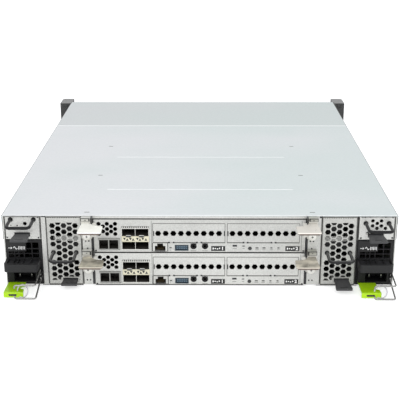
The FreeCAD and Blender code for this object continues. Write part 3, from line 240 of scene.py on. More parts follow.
mouldedColumns = ("colour", "roughness", "grainScale", "variation", "bump", "specular")
mouldedRows = {
    "blackBar": ((0.011, 0.011, 0.012), 0.30, 1100, 0.3, 0.15, 0.18),
    "black": ((0.0125, 0.0125, 0.0135), 0.55, 1400, 0.4, 0.35, 0.28),
    "labelPad": ((0.020, 0.020, 0.020), 0.5, 700, 0.15, 0.1, 0.3),
    "grey": ((0.046, 0.046, 0.048), 0.48, 1300, 0.15, 0.3),
    "green": ((0.36, 0.63, 0.004), 0.34, 800, 0.10, 0.12),
    "carrier": ((0.070, 0.070, 0.075), 0.46, 1300, 0.2, 0.3),
    "fanPlastic": ((0.02, 0.02, 0.02), 0.42, 900, 0.3, 0.2),
    "ear": ((0.036, 0.036, 0.036), 0.52, 1300, 0.15, 0.25),
    # ink serves print and painted shade; seam draws dark lines of painted shade in the gaps between parts;
    # softSeam draws printed underlines and paler painted shade
    "ink": ((0.020, 0.020, 0.022), 0.55, 900, 0.3, 0.1),
    "seam": ((0.060, 0.060, 0.055), 0.6, 900, 0.3, 0.1),
    "softSeam": ((0.14, 0.14, 0.13), 0.6, 900, 0.1, 0.1),
    "print": ((0.90, 0.90, 0.88), 0.5, 900, 0.05, 0.1),
    "darkBlue": ((0.026, 0.040, 0.052), 0.4, 800, 0.2, 0.15),
    "blue": ((0.098, 0.152, 0.195), 0.4, 800, 0.2, 0.15),
    "nickel": ((0.60, 0.59, 0.55), 0.25, 800, 0.1, 0.05),
    "lens": ((0.05, 0.052, 0.05), 0.18, 600, 0.1, 0.03),
    "opal": ((0.50, 0.52, 0.50), 0.2, 600, 0.05, 0.03),
    "tie": ((0.62, 0.60, 0.64), 0.30, 500, 0.03, 0.05),
    "whiteEdge": ((0.93, 0.94, 0.94), 0.4, 900, 0.03, 0.05)}
sheetColumns = ("colour", "metallic", "roughness", "grainScale", "cloudScale", "variation", "bump",
                "grainStretch", "speckle", "speckleScale", "tints")
sheetRows = {
    "cover": ((0.70, 0.745, 0.745), 0.0, 0.42, 900, 5, 0.025, 0.12, (1, 1, 1), 0.018, 300,
              ((0.735, 0.740, 0.755), (0.625, 0.69, 0.68))),
    "frontCover": ((0.60, 0.648, 0.648), 0.0, 0.42, 900, 5, 0.025, 0.12, (1, 1, 1), 0.02, 300,
                   ((0.63, 0.64, 0.645), (0.585, 0.645, 0.63))),
    "steel": ((0.64, 0.64, 0.612), 0.35, 0.44, 260, 16, 0.06, 0.15, (0.15, 1, 3), 0.10, 880),
    "fanSteel": ((0.54, 0.54, 0.512), 0.35, 0.44, 260, 16, 0.07, 0.15, (3, 1, 0.15), 0.10, 880),
    "wire": ((0.30, 0.30, 0.29), 0.9, 0.28, 400, 60, 0.08, 0.05),
    "portSteel": ((0.33, 0.33, 0.31), 0.3, 0.38, 300, 40, 0.08, 0.1),
    "face": ((0.62, 0.62, 0.59), 0.3, 0.42, 300, 40, 0.06, 0.08),
    "brightSteel": ((0.86, 0.85, 0.80), 0.25, 0.34, 300, 40, 0.05, 0.08),
    "gold": ((0.20, 0.15, 0.07), 0.5, 0.5, 300, 60, 0.08, 0.05)}
finishSet = {name: dict(zip(mouldedColumns, row)) for name, row in mouldedRows.items()}
finishSet.update({name: dict(zip(sheetColumns, row)) for name, row in sheetRows.items()})
finishes = {name: makeFinish(name, values) for name, values in finishSet.items()}

# one steel for all four levers, each painted at the brightness it shows under the lamps: painted light and
# shade, the upper left brightest and the lower pair darkest
leverLitColours = {"upper_ejector_left": (0.96, 0.945, 0.86), "upper_ejector_right": (0.70, 0.665, 0.60),
                "lower_ejector_left": (0.455, 0.42, 0.335), "lower_ejector_right": (0.50, 0.46, 0.38)}
leverSet = {"metallic": 0.12, "roughness": 0.34, "grainStretch": (3, 0.2, 1), "bump": 0.10}
# grain and cloudy tone for the upper and lower levers; the lower ones vary far more in tone
leverMottleSet = {"upper": {"grainScale": 300, "cloudScale": 40, "variation": 0.08},
           "lower": {"grainScale": 160, "cloudScale": 75, "variation": 0.55}}
for node, colour in leverLitColours.items():
    finishes[node] = makeFinish(node, {**leverSet, **leverMottleSet[node.split("_")[0]], "colour": colour})

# lighter tones painted on the upward faces of the ears and the black bars: painted light from above
upwardLightSet = {"ear": (0.235, 0.235, 0.232), "blackBar": (0.09, 0.09, 0.088)}
upwardLightRange = (0.5, 0.9)


def paintUpwardLight(finish, upwardTone):  # painted light: the more the surface looks up, the more it turns towards the lighter top tone
    tree = finish.node_tree
    normal = addNode(tree, "TexCoord", {}).outputs["Normal"]
    upward = ramp(tree, addNode(tree, "SeparateXYZ", {0: normal}).outputs[2], 0, 1, *upwardLightRange)
    base = tree.nodes["Principled BSDF"].inputs["Base Color"]
    tree.links.new(blendColour(tree, upward, base.links[0].from_socket, upwardTone), base)


for name, upwardTone in upwardLightSet.items():
    paintUpwardLight(finishes[name], upwardTone)

finishByName = {"rear_cover": "cover", "front_cover": "frontCover", "drive_cage": "steel"}
finishByEnd = {"_clip": "wire", "_handle": "blackBar", "_release": "green", "_latch": "grey",
               "_rotor": "fanPlastic"}
finishByStart = {"drive_lever": "grey", "drive_": "carrier", "ear": "ear", "supply": "black",
                 "fan": "fanSteel"}


def finishOf(node):  # the whole name decides first, then its end, then its start
    if node in leverLitColours:
        return node
    if node in finishByName:
        return finishByName[node]
    found = [finish for end, finish in finishByEnd.items() if node.endswith(end)]
    found += [finish for start, finish in finishByStart.items() if node.startswith(start)]
    return (found + ["steel"])[0]


def dress(node, finish):
    mesh = nodes[node].data
    if not mesh.materials:
        mesh.materials.append(finish)
    for k in range(len(mesh.materials)):
        mesh.materials[k] = finish


for node in nodes:
    dress(node, finishes[finishOf(node)])
print("finishes made:", len(finishes))


# box whose twelve edges are cut at 45 degrees, so that each corner becomes a triangle
def edgedBox(x0, x1, y0, y1, z0, z1, edge=0.12):
    low, high = np.array((x0, y0, z0), float), np.array((x1, y1, z1), float)
    edge = min(edge, (high - low).min() / 2.2)  # a thin box keeps a little of its middle
    points, index = [], {}
    corners = list(np.ndindex(2, 2, 2))
    for corner in corners:
        atHigh = np.array(corner) == 1
        base = np.where(atHigh, high, low)
        inward = np.where(atHigh, -edge, edge)
        for axis in range(3):
            shift = inward.copy()
            shift[axis] = 0
            index[corner + (axis,)] = len(points)
            points.append(base + shift)

    def cornerAt(axis, along, u, v):
        corner = [u, v]
        corner.insert(axis, along)
        return tuple(corner)

    faces = []
    for axis in range(3):
        for side in (0, 1):
            ring = [cornerAt(axis, side, u, v) for u, v in ((0, 0), (1, 0), (1, 1), (0, 1))]
            faces.append([index[corner + (axis,)] for corner in ring])
    for axis in range(3):
        first, second = [a for a in range(3) if a != axis]
        for u, v in ((0, 0), (0, 1), (1, 0), (1, 1)):
            start, stop = (cornerAt(axis, w, u, v) for w in (0, 1))
            faces.append([index[start + (first,)], index[stop + (first,)],
                          index[stop + (second,)], index[start + (second,)]])
    for corner in corners:
        faces.append([index[corner + (axis,)] for axis in range(3)])
    return np.array(points), faces


# profile of (radius, offset along the axis) turned about the axis; a radius of 0 closes an end
def turned(profile, centre, axis="y", sides=32):
    angles = 2 * math.pi * np.arange(sides) / sides
    points, rings = [], []
    for radius, offset in profile:
        if radius <= 1e-9:
            rings.append([len(points)] * sides)
            points.append((0.0, 0.0, offset))
        else:
            rings.append(list(range(len(points), len(points) + sides)))
            points += [(radius * math.cos(a), radius * math.sin(a), offset) for a in angles]
    faces = []
    for first, second in zip(rings, rings[1:]):
        for k in range(sides):
            ring = [first[k], first[(k + 1) % sides], second[(k + 1) % sides], second[k]]
            face = [p for n, p in enumerate(ring) if p not in ring[:n]]
            if len(face) > 2:
                faces.append(face)
    order = {"x": (2, 0, 1), "y": (1, 2, 0)}[axis]
    return np.array(points)[:, order] + np.array(centre, float), faces


# round rod along a line of points; one sideways direction is carried along so that its section does not twist
def tube(points, radius, sides=12, closed=False):
    points = np.array(points, float)
    count = len(points)
    ahead = np.roll(points, -1, axis=0) - points
    behind = points - np.roll(points, 1, axis=0)
    if not closed:
        ahead[-1], behind[0] = behind[-1], ahead[0]
    way = ahead / np.linalg.norm(ahead, axis=1)[:, None] + behind / np.linalg.norm(behind, axis=1)[:, None]
    way /= np.linalg.norm(way, axis=1)[:, None]
    side = np.cross(way[0], (0.31, 0.55, 0.77))  # any direction that no rod here runs along
    angles = 2 * math.pi * np.arange(sides) / sides
    out = []
    for k in range(count):
        side = side - (side @ way[k]) * way[k]
        side /= np.linalg.norm(side)
        up = np.cross(way[k], side)
        out.append(points[k] + radius * (np.cos(angles)[:, None] * side + np.sin(angles)[:, None] * up))
    faces = []
    for k in range(count if closed else count - 1):
        a, b = k * sides, ((k + 1) % count) * sides
        for j in range(sides):
            faces.append([a + j, a + (j + 1) % sides, b + (j + 1) % sides, b + j])
    if not closed:
        faces += [list(range(sides))[::-1], list(range((count - 1) * sides, count * sides))]
    return np.concatenate(out), faces


def plate(outline, axis, start, end):  # flat plate with a polygon outline in the plane across the axis x or y
    count = len(outline)
    points = []
    for level in (start, end):
        points += [{"x": (level, a, b), "y": (a, level, b)}[axis] for a, b in outline]
    faces = [list(range(count)), list(range(count, 2 * count))[::-1]]
    faces += [[k, k + count, (k + 1) % count + count, (k + 1) % count] for k in range(count)]
    return np.array(points, float), faces


# how each kind of mark lies on its face: how far its front and its back stand out, and its cut edge
layerSet = {"line": (0.06, 0.02, 0.02), "thin": (0.05, 0.01, 0.01), "outline": (0.12, 0.02, 0.02),
            "portFrame": (0.6, 0.03, 0.12), "portWeb": (0.3, 0.03, 0.12), "portRim": (0.65, 0.1, 0.02),
            "portGap": (0.12, 0.03, 0.02), "tab": (2.1, 1.05, 0.12), "tabShade": (2.15, 1.05, 0.12),
            "networkFrame": (0.7, 0.42, 0.12), "networkStep": (0.7, 0.3, 0.12),
            "networkLip": (0.76, 0.71, 0.02), "usbFrame": (0.42, 0.32, 0.12), "usbBack": (-1.6, -1.9, 0.05),
            "usbTongue": (-0.3, -0.9, 0.1), "lamp": (0.22, 0.02, 0.15), "opening": (0.1, 0.02, 0.04),
            "slit": (0.1, 0.02, 0.03), "socketFlat": (0.14, 0.02, 0.02), "shade": (0.07, 0.02, 0.02),
            "shadeEnd": (0.09, 0.02, 0.02), "pad": (0.14, 0.02, 0.05), "padBar": (0.26, 0.13, 0.05),
            "recess": (0.62, 0.4, 0.05), "hingeShade": (0.02, -0.04, 0.01), "hingeHole": (0.0, -0.04, 0.01),
            "hingeFrame": (0.0, -0.04, 0.12), "column": (0.06, 0.01, 0.02), "columnGap": (0.3, 0.2, 0.02),
            "tray": (0.05, 0.01, 0.02),
            "bridge": (-16.0, -17.2, 0.2), "cap": (0.08, 0.01, 0.02), "fanDot": (0.07, 0.01, 0.01),
            "supplyLabel": (0.3, 0.02, 0.15), "labelMark": (0.4, 0.28, 0.05), "blade": (2.56, 1.5, 0.2),
            "slotFloor": (-0.2, -1.0, 0.12)}


def mark(x0, x1, z0, z1, face, layer="line"):  # thin block on a face that looks towards low y
    front, back, edge = layerSet[layer]
    return edgedBox(x0, x1, face - front, face - back, z0, z1, edge)


def upright(x, half, z0, z1, face, layer="line"):  # such a block with its middle at x
    return mark(x - half, x + half, z0, z1, face, layer)


def disc(x, z, radius, face, sides=16, front=0.06, thick=0.05):  # thin round block on such a face
    return turned([(0, 0.0), (radius, 0.0), (radius, thick), (0, thick)], (x, face - front, z), "y", sides)


# four bars between an outer and an inner rectangle, each as (x low, x high, z low, z high)
def frameBars(outer, hole, face, layer):
    (a0, a1, c0, c1), (b0, b1, d0, d1) = outer, hole
    bars = ((a0, a1, d1, c1), (a0, a1, c0, d0), (a0, b0, d0, d1), (b1, a1, d0, d1))
    return [mark(*bar, face, layer) for bar in bars]


platedFinishes = ("steel", "portSteel", "face", "gold", "brightSteel", "seam", "nickel")


def placePiece(name, mesh, finish, body, slotName=None):  # a slot name is worked out from the finish when none is given, but nothing uses it
    if slotName is None:
        slotName = "plated_steel" if finish in platedFinishes else "black_moulding"
    mesh.materials.clear()
    mesh.materials.append(finishes[finish])
    piece = bpy.data.objects.new(name, mesh)
    bpy.context.scene.collection.objects.link(piece)
    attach(piece, body)


# parts in millimetres, joined as one mesh in metres at the origin, riding on a body
def addPiece(name, parts, finish, body, slotName=None, smooth=False):
    points, faces, start = [], [], 0
    for partPoints, partFaces in parts:
        points.append(np.asarray(partPoints, float))
        faces += [[k + start for k in face] for face in partFaces]
        start += len(partPoints)
    mesh = bpy.data.meshes.new(name)
    mesh.from_pydata((np.concatenate(points) * 0.001).tolist(), [], faces)
    shell = bmesh.new()
    shell.from_mesh(mesh)
    bmesh.ops.recalc_face_normals(shell, faces=shell.faces)
    shell.to_mesh(mesh)
    shell.free()
    if smooth:
        mesh.polygons.foreach_set("use_smooth", [True] * len(mesh.polygons))
    mesh.update()
    placePiece(name, mesh, finish, body, slotName)


figureSet = {"halfDepth": 0.06, "fatter": 0.04}  # in millimetres, the second for each millimetre of height


def textPlate(name, words, size, centre, finish, body):  # plain figures standing on a rear face
    curve = bpy.data.curves.new(name + "Words", "FONT")
    curve.body = words
    curve.size = size * 0.001
    curve.extrude = figureSet["halfDepth"] * 0.001
    curve.offset = size * figureSet["fatter"] * 0.001
    curve.align_x, curve.align_y = "CENTER", "CENTER"
    holder = bpy.data.objects.new(name + "Words", curve)
    bpy.context.scene.collection.objects.link(holder)
    mesh = bpy.data.meshes.new_from_object(holder)
    bpy.data.objects.remove(holder)
    bpy.data.curves.remove(curve)
    mesh.transform(Matrix.Translation(Vector(centre) * 0.001) @ Matrix.Rotation(math.pi / 2, 4, "X"))
    mesh.name = name
    placePiece(name, mesh, finish, body)


# inside each zone the surface takes another colour, roughness, metal or shine; a zone's x, y and z limits
# are millimetres from the origin given, and None or a missing pair means no limit
def overlay(finish, zones, origin=(0, 0, 0)):
    tree = finish.node_tree
    shader = tree.nodes["Principled BSDF"]
    coords = addNode(tree, "TexCoord", {}).outputs["Object"]
    split = addNode(tree, "SeparateXYZ", {0: coords})
    for area in zones:
        mask = None
        for axis, letter in enumerate("xyz"):
            for limit, way in zip(area.get(letter, (None, None)), ("GREATER_THAN", "LESS_THAN")):
                if limit is None:
                    continue
                pair = {0: split.outputs[axis], 1: (origin[axis] + limit) * 0.001}
                test = addNode(tree, "Math", pair, operation=way).outputs[0]
                if mask is not None:
                    test = addNode(tree, "Math", {0: mask, 1: test}, operation="MULTIPLY").outputs[0]
                mask = test
        base = shader.inputs["Base Color"]
        old = base.links[0].from_socket if base.is_linked else tuple(base.default_value)[:3]
        tree.links.new(blendColour(tree, mask, old, area["colour"]), base)
        for key, socketName in glossSockets.items():
            if key in area:
                socket = shader.inputs[socketName]
                before = socket.links[0].from_socket if socket.is_linked else socket.default_value
                mixed = addNode(tree, "Mix", {0: mask, 2: before, 3: area[key]}).outputs[0]
                tree.links.new(mixed, socket)
    return finish


def millimetres(node):
    low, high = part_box(node)
    return [1000 * c for c in low], [1000 * c for c in high]


rear = millimetres("rear_cover")[0][1]
front = millimetres("front_cover")[1][1]
print("rear at", round(rear, 2), "front at", round(front, 2))

leverShade = {"highlightDeep": 0.9, "highlightGain": 1.35, "highlightLift": 0.05, "highlightRoughness": 0.3, "shadeDeep": 3,
              # shadeDeep and slotLevels place the band of painted shade under the front edge
              "slotLevels": (-9, -1.05), "shadeColour": (0.16, 0.12, 0.10), "shadeRoughness": 0.6}


def dressLevers(s):  # painted light and shade: a painted highlight along the front edge, and a band of painted shade measured down from the top
    for node, colour in leverLitColours.items():
        (_, near, _), (_, _, above) = millimetres(node)
        pale = tuple(min(1, s["highlightGain"] * c + s["highlightLift"]) for c in colour)
        zones = [{"y": (None, s["highlightDeep"]), "colour": pale, "roughness": s["highlightRoughness"]},
                 {"y": (None, s["shadeDeep"]), "z": s["slotLevels"], "colour": s["shadeColour"],
                  "roughness": s["shadeRoughness"]}]
        overlay(finishes[node], zones, (0, near, above))


dressLevers(leverShade)

# levels count from the foot of the controller's case, the y limits of zones from the rear face
controllerSet = {
    "sasOuter": (-115.2, -90.4, 15.1, 17.5), "sasWeb": (-104.0, -102.75), "sasSide": -92.5,
    "sasLevels": (4.0, 15.1), "sasFoot": 0.6, "sasRim": (-0.35, -0.02), "sasGap": (-1.3, -0.8),
    "cageSpan": (-88.4, -57.2), "fingerLevels": (28.9, 31.5), "fingerCount": 13, "fingerStart": 0.25,
    "fingerWide": 0.5, "fingerShade": 0.2,
    "fingerWave": ((0.05, 1, 0), (0.9, 1, -0.5), (1.15, 0, 0.9), (0.75, 0, 0), (0.05, 0, 0)),
    "latchTabs": (-80.4, -65.7), "tab": (2.9, 20.7, 21.5), "tabShade": (2.7, 19.0, 20.6),
    "marks": (-85.0, -81.9, -78.3, -75.2, -70.4, -67.5, -64.2, -60.8), "markLevel": 16.6, "markShift": 0.25,
    "markHalf": 1.6, "markTall": 1.5, "markDepth": (1.7, 1.58),
    "networkOuter": (-53.0, -36.6, 2.0, 11.3), "networkHole": (-50.8, -38.75, 2.5, 10.9),
    "networkStep": (2.7, 2.9), "networkLip": (1.2, 0.02),
    "networkSide": (0.5, 0.4, -0.6, 0.3), "networkUnder": (0.8, -0.8, -0.2),
    "contacts": {"count": 8, "start": 2.5, "step": 1.02, "near": (1.0, 1.2), "far": (7.0, 3.0),
                 "radius": 0.22},
    "usb": (-27.6, -12.9, 2.3, 8.9), "usbRim": 0.6, "usbBack": 0.8,
    "cells": {"count": 5, "start": 1.5, "step": 2.6, "wide": 1.8, "high": 1.5, "rises": (1.5, 3.9)},
    "lamps": ((65.4, 3.4), (73.4, 3.4), (81.7, 2.4), (89.8, 2.4), (-33.0, 2.6)), "lampLevels": (4.95, 6.25),
    "underlines": ((-33.5, 1.6, 2.8), (-6.8, 6.5, 2.0), (6.25, 6.0, 2.0), (65.4, 4.2, 3.4), (73.4, 3.6, 3.4),
                   (81.7, 3.0, 3.4), (89.8, 3.0, 3.4), (40.1, 4.6, 4.6), (50.1, 2.6, 4.8)),
    "underlineLevels": (-0.25, 0.25), "openings": ((37.6, 42.6, 7.1, 9.3), (48.7, 51.5, 7.2, 8.4)),
    "slits": ((-52.4, -51.3), (27.6, 28.7), (31.8, 32.9)), "slitLevels": (20.0, 26.0),
    "pins": {"side": 118.0, "level": 1.9, "radius": 1.0, "front": 0.1, "thick": 0.08},
    "roundSockets": ((-6.8, 7.5), (6.25, 7.5)), "socketRadii": (2.3, 3.6), "socketThick": 0.12,
    "socketFront": 0.14, "socketFlat": (3.4, 2.1, 3.4),
    "slots": ((-53.0, 28.9), (31.4, 113.3)), "slotLevels": (11.6, 35.0), "slotSide": 0.35,
    "slotTop": (-0.35, 0.4),
    "bottomRuns": ((-53.0, -34.6), (-29.4, -2.9), (2.1, 28.9), (31.4, 50.0), (54.6, 81.7), (86.4, 113.3)),
    "runLevels": (-0.3, 0.75), "endHalf": 1.0, "endLevels": (-0.5, 1.4), "endClear": 0.6,
    "edges": (-54.4, 115.6), "edgeHalf": 0.25, "edgeLevels": (0.4, 38.6),
    "labels": ((13.3, 29.2, "1"), (97.7, 113.75, "2")), "labelLevels": (1.8, 7.8), "figureSize": 5.4,
    "figurePlace": (3.0, 0.2),
    "labelBars": {"count": 4, "start": 1.6, "spare": 6.4, "wide": 0.62, "foot": 1.9, "footStep": 0.5,
                  "topStep": 0.4},
    "screwSide": 127.7, "screwLevel": 20.0, "screwOut": 3.0, "crossLong": 2.6, "crossWide": 0.7,
    "screwHead": ((0, -0.55), (1.6, -0.5), (3.5, -0.2), (4.3, 0.05)),
    "hinge": {"sides": (122.9, 133.2), "foot": 39.8, "front": 6.65, "shadeWide": 1.5,
              "shadeHigh": 1.0, "rim": 0.55, "rimTop": 0.5, "holeHalf": 0.9, "holeLevels": (-2.9, -2.1)},
    "footHalf": 119.6, "footStart": 0.02, "footShade": {"lower": 1.3, "upper": 0.6},
    "boardZones": (
        # behind the rear face the board is dark: partly the connectors' own black plastic, partly painted
        # shade
        {"y": (-0.1, None), "colour": (0.05, 0.045, 0.040), "roughness": 0.5, "metallic": 0.0},
        {"x": (-90, -57), "y": (None, -0.9), "z": (13.0, 20.0), "colour": (0.80, 0.76, 0.58),
         "roughness": 0.45, "metallic": 0.0},
        {"x": (-10.8, 10.2), "z": (3, 13), "colour": (0.012, 0.012, 0.012), "roughness": 0.5, "metallic": 0.0,
         "specular": 0.15},
        {"x": (-28.2, -12.4), "z": (1.5, 9.5), "colour": (0.06, 0.09, 0.12), "roughness": 0.4,
         "metallic": 0.2},
        {"x": (54, 61), "z": (1, 9), "colour": (0.030, 0.030, 0.030), "roughness": 0.3, "metallic": 0.0}),
    "caseShade": {"lower": 0.98, "upper": 0.88},
    "bracketLook": {"y": (None, -0.05), "metallic": 0.15, "roughness": 0.35},
    # the hinge brackets are one steel painted lighter or darker by how the light falls on each side and
    # height, painted light and shade, with black painted shade in the gaps beside them
    "bracketTones": ((None, -116.8, 12, 41, (0.66, 0.65, 0.60)), (116.8, None, 12, 41, (0.66, 0.65, 0.60)),
                     (None, -116.8, 41, 48, (0.58, 0.58, 0.54)), (116.8, None, 41, 48, (0.42, 0.42, 0.37)),
                     (-122.5, -120.3, 36, 48, (0.03, 0.03, 0.03)),
                     (120.3, 122.5, 36, 48, (0.03, 0.03, 0.03))),
    # a dark band of painted shade on the case just behind the rear face, where it shows through the gaps
    "behindFaceShade": {"y": (0.15, 9.0), "colour": (0.04, 0.04, 0.04), "roughness": 0.8, "metallic": 0.0}}


def dressController(word, s):
    case = word + "_controller_case"
    body = word + "_controller"
    foot, height = millimetres(case)[0][2], millimetres(case)[1][2]
    y = rear

    def put(name, parts, finish, slotName=None, smooth=False):
        addPiece(word + name, parts, finish, body, slotName, smooth)

    def lift(rect):
        return rect[0], rect[1], rect[2] + foot, rect[3] + foot

    def above(base, levels):
        return [base + z for z in levels]

    def raised(levels):
        return above(foot, levels)

    low, high = raised(s["sasLevels"])
    left, right, under, top = lift(s["sasOuter"])
    put("PortFrame", [mark(left, right, under, top, y, "portFrame"),
                      mark(s["sasSide"], right, low - s["sasFoot"], under, y, "portFrame"),
                      mark(*s["sasWeb"], low, high, y, "portWeb")], "portSteel")
    put("PortFrameShade", [mark(left, right, *above(top, s["sasRim"]), y, "portRim"),
                           mark(left, right, *above(low, s["sasGap"]), y, "portGap")], "seam")

    start, stop = s["cageSpan"]
    levels = raised(s["fingerLevels"])
    step = (stop - start) / s["fingerCount"]
    wave = [(y - out, levels[atTop] + shift) for out, atTop, shift in s["fingerWave"]]
    fingers = []
    for k in range(s["fingerCount"]):
        left = start + k * step + step * s["fingerStart"]
        fingers.append(plate(wave, "x", left, left + step * s["fingerWide"]))
    put("SpringFingers", fingers, "face")
    margin = s["fingerShade"]
    shade = mark(start, stop, levels[0] - margin, levels[1] + margin, y, "portGap")
    put("FingerShade", [shade], "seam")
    for name, layer, finish in (("CageTabs", "tab", "face"), ("CageTabShade", "tabShade", "ink")):
        half, *levels = s[layer]
        tabs = [upright(x, half, *raised(levels), y, layer) for x in s["latchTabs"]]
        put(name, tabs, finish, "plated_steel")
    arrows = []
    front, back = s["markDepth"]
    for k, x in enumerate(s["marks"]):
        tip = -1 if k % 2 == 0 else 1  # every second triangle points up
        z = foot + s["markLevel"] - s["markShift"] * tip
        base, point = z - s["markTall"] * tip, z + s["markTall"] * tip
        outline = [(x - s["markHalf"], base), (x + s["markHalf"], base), (x, point)]
        arrows.append(plate(outline, "y", y - front, y - back))
    put("StripMarks", arrows, "ink")

    hole, outer = lift(s["networkHole"]), lift(s["networkOuter"])
    across, down = s["networkStep"]
    steps = [mark(x, x + across, hole[3] - down, hole[3], y, "networkStep")
             for x in (hole[0], hole[1] - across)]
    put("NetworkFrame", frameBars(outer, hole, y, "networkFrame") + steps, "face")
    lipFoot, lipTop = s["networkLip"]
    beside, half, below, over = s["networkSide"]
    spare, *under = s["networkUnder"]
    # painted shade round the jack: a dark plate below its opening, dark lines at its sides and a painted
    # shadow under it
    lines = [mark(hole[0], hole[1], foot + lipFoot, hole[2] + lipTop, y, "networkLip")]
    lines += [upright(x, half, outer[2] + below, outer[3] + over, y, "outline")
              for x in (outer[0] - beside, outer[1] + beside)]
    lines.append(mark(outer[0] - spare, outer[1] + spare, *above(outer[2], under), y, "outline"))
    put("NetworkEdgeShade", lines, "ink", "plated_steel")
    pin = s["contacts"]
    contacts = []
    for k in range(pin["count"]):
        x = hole[0] + pin["start"] + pin["step"] * k
        ends = [(x, y + deep, hole[2] + rise) for deep, rise in (pin["near"], pin["far"])]
        contacts.append(tube(ends, pin["radius"], 6))
    put("NetworkContacts", contacts, "gold")

    u0, u1, u2, u3 = lift(s["usb"])
    rim, inset = s["usbRim"], s["usbBack"]
    bars = frameBars((u0, u1, u2, u3), (u0 + rim, u1 - rim, u2 + rim, u3 - rim), y, "usbFrame")
    bars.append(mark(u0 + inset, u1 - inset, u2 + inset, u3 - inset, y, "usbBack"))
    put("UsbEdge", bars, "darkBlue")
    cell = s["cells"]
    cells = []
    for k in range(cell["count"]):
        x = u0 + cell["start"] + k * cell["step"]
        cells += [mark(x, x + cell["wide"], u2 + rise, u2 + rise + cell["high"], y, "usbTongue")
                  for rise in cell["rises"]]
    put("UsbTongue", cells, "blue")
    lenses = [upright(x, wide / 2, *raised(s["lampLevels"]), y, "lamp") for x, wide in s["lamps"]]
    put("StatusLamps", lenses, "lens")
    lines = [upright(x, wide / 2, *above(foot + level, s["underlineLevels"]), y)
             for x, wide, level in s["underlines"]]
    put("PortMarks", lines, "softSeam")
    ports = [mark(*lift(rect), y, "opening") for rect in s["openings"]]
    ports += [mark(a, b, *raised(s["slitLevels"]), y, "slit") for a, b in s["slits"]]
    pin = s["pins"]
    ports += [disc(side * pin["side"], foot + pin["level"], pin["radius"], y, 16, pin["front"], pin["thick"])
              for side in (-1, 1)]
    inner, outer = s["socketRadii"]
    thick = s["socketThick"]
    ring = [(inner, 0.0), (outer, 0.0), (outer, thick), (inner, thick), (inner, 0.0)]
    half, *flat = s["socketFlat"]
    for x, level in s["roundSockets"]:
        z = foot + level
        ports += [turned(ring, (x, y - s["socketFront"], z)),
                  upright(x, half, *above(z, flat), y, "socketFlat")]
    put("SmallOpenings", ports, "ink")

    # painted shade along the foot of each slot blank, darker at its ends, and thin dark lines of painted
    # shade at the slot edges
    z0, z1 = raised(s["slotLevels"])
    dark, ends, pale = [], [], []
    for run in s["bottomRuns"]:
        dark.append(mark(*run, *above(z0, s["runLevels"]), y, "shade"))
        for end in run:
            if all(abs(end - side) > s["endClear"] for slot in s["slots"] for side in slot):
                ends.append(upright(end, s["endHalf"], *above(z0, s["endLevels"]), y, "shadeEnd"))
    for slot in s["slots"]:
        pale.append(mark(*slot, *above(z1, s["slotTop"]), y))
        pale += [upright(x, s["slotSide"], z0, z1, y) for x in slot]
    pale += [upright(x, s["edgeHalf"], *raised(s["edgeLevels"]), y) for x in s["edges"]]
    put("SlotShade", dark, "seam")
    put("SlotShadeEnds", ends, "ink")
    put("SlotEdges", pale, "softSeam", "plated_steel")

    z0, z1 = raised(s["labelLevels"])
    bar = s["labelBars"]
    inset, out = s["figurePlace"]
    for a, b, words in s["labels"]:
        put("LabelPad" + words, [mark(a, b, z0, z1, y, "pad")], "labelPad")
        place = (b - inset, y - out, (z0 + z1) / 2)
        textPlate(word + "Label" + words, words, s["figureSize"], place, "print", body)
        step = (b - a - bar["spare"]) / bar["count"]
        bars = []
        for k in range(bar["count"]):
            x = a + bar["start"] + k * step
            bars.append(mark(x, x + bar["wide"] * step, z0 + bar["foot"] + bar["footStep"] * (k % 2),
                             z1 - bar["foot"] - bar["topStep"] * (k % 3), y, "padBar"))
        put("LabelBars" + words, bars, "print")

    # round each hinge block a dark outline and darker bands on its inner side and top are painted shade
    recess, heads, outline, shadow = [], [], [], []
    block = s["hinge"]
    face, under = y - block["front"], foot + block["foot"]
    for side in (-1, 1):
        x, z = side * s["screwSide"], foot + s["screwLevel"]
        heads.append(turned(s["screwHead"], (x, y - s["screwOut"], z)))
        arms = (s["crossLong"], s["crossWide"])
        for wide, tall in (arms, arms[::-1]):
            recess.append(upright(x, wide / 2, z - tall / 2, z + tall / 2, y - s["screwOut"], "recess"))
        inner, outer = (side * x for x in block["sides"])
        near, far = sorted((inner, inner + side * block["shadeWide"]))
        a, b = sorted((inner, outer))
        shadow += [mark(near, far, under, height, face, "hingeShade"),
                   mark(a, b, height - block["shadeHigh"], height, face, "hingeShade")]
        rim = block["rim"]
        hole = (a + rim, b - rim, under + rim, height - block["rimTop"])
        outline += frameBars((a, b, under, height), hole, face, "hingeFrame")
        levels = above(height, block["holeLevels"])
        outline.append(upright((a + b) / 2, block["holeHalf"], *levels, face, "hingeHole"))
    put("HingeOutlines", outline, "seam")
    put("HingeShadows", shadow, "ink", "plated_steel")
    put("ScrewHeads", heads, "brightSteel", smooth=True)
    put("ScrewRecesses", recess, "ink")
    levels = raised((s["footStart"], s["footShade"][word]))
    put("FootShade", [upright(0, s["footHalf"], *levels, y, "thin")], "seam")

    origin = (0, rear, foot)
    board = makeFinish(word + "Board", finishSet["brightSteel"])
    dress(word + "_controller_board", overlay(board, s["boardZones"], origin))
    zones = [dict(s["bracketLook"], x=(left, right), z=(low, high), colour=tone)
             for left, right, low, high, tone in s["bracketTones"]]
    tone = tuple(c * s["caseShade"][word] for c in finishSet["steel"]["colour"])
    steel = makeFinish(word + "Case", dict(finishSet["steel"], colour=tone))
    dress(case, overlay(steel, zones + [s["behindFaceShade"]], origin))


for word in ("lower", "upper"):
    dressController(word, controllerSet)
print("controllers dressed")

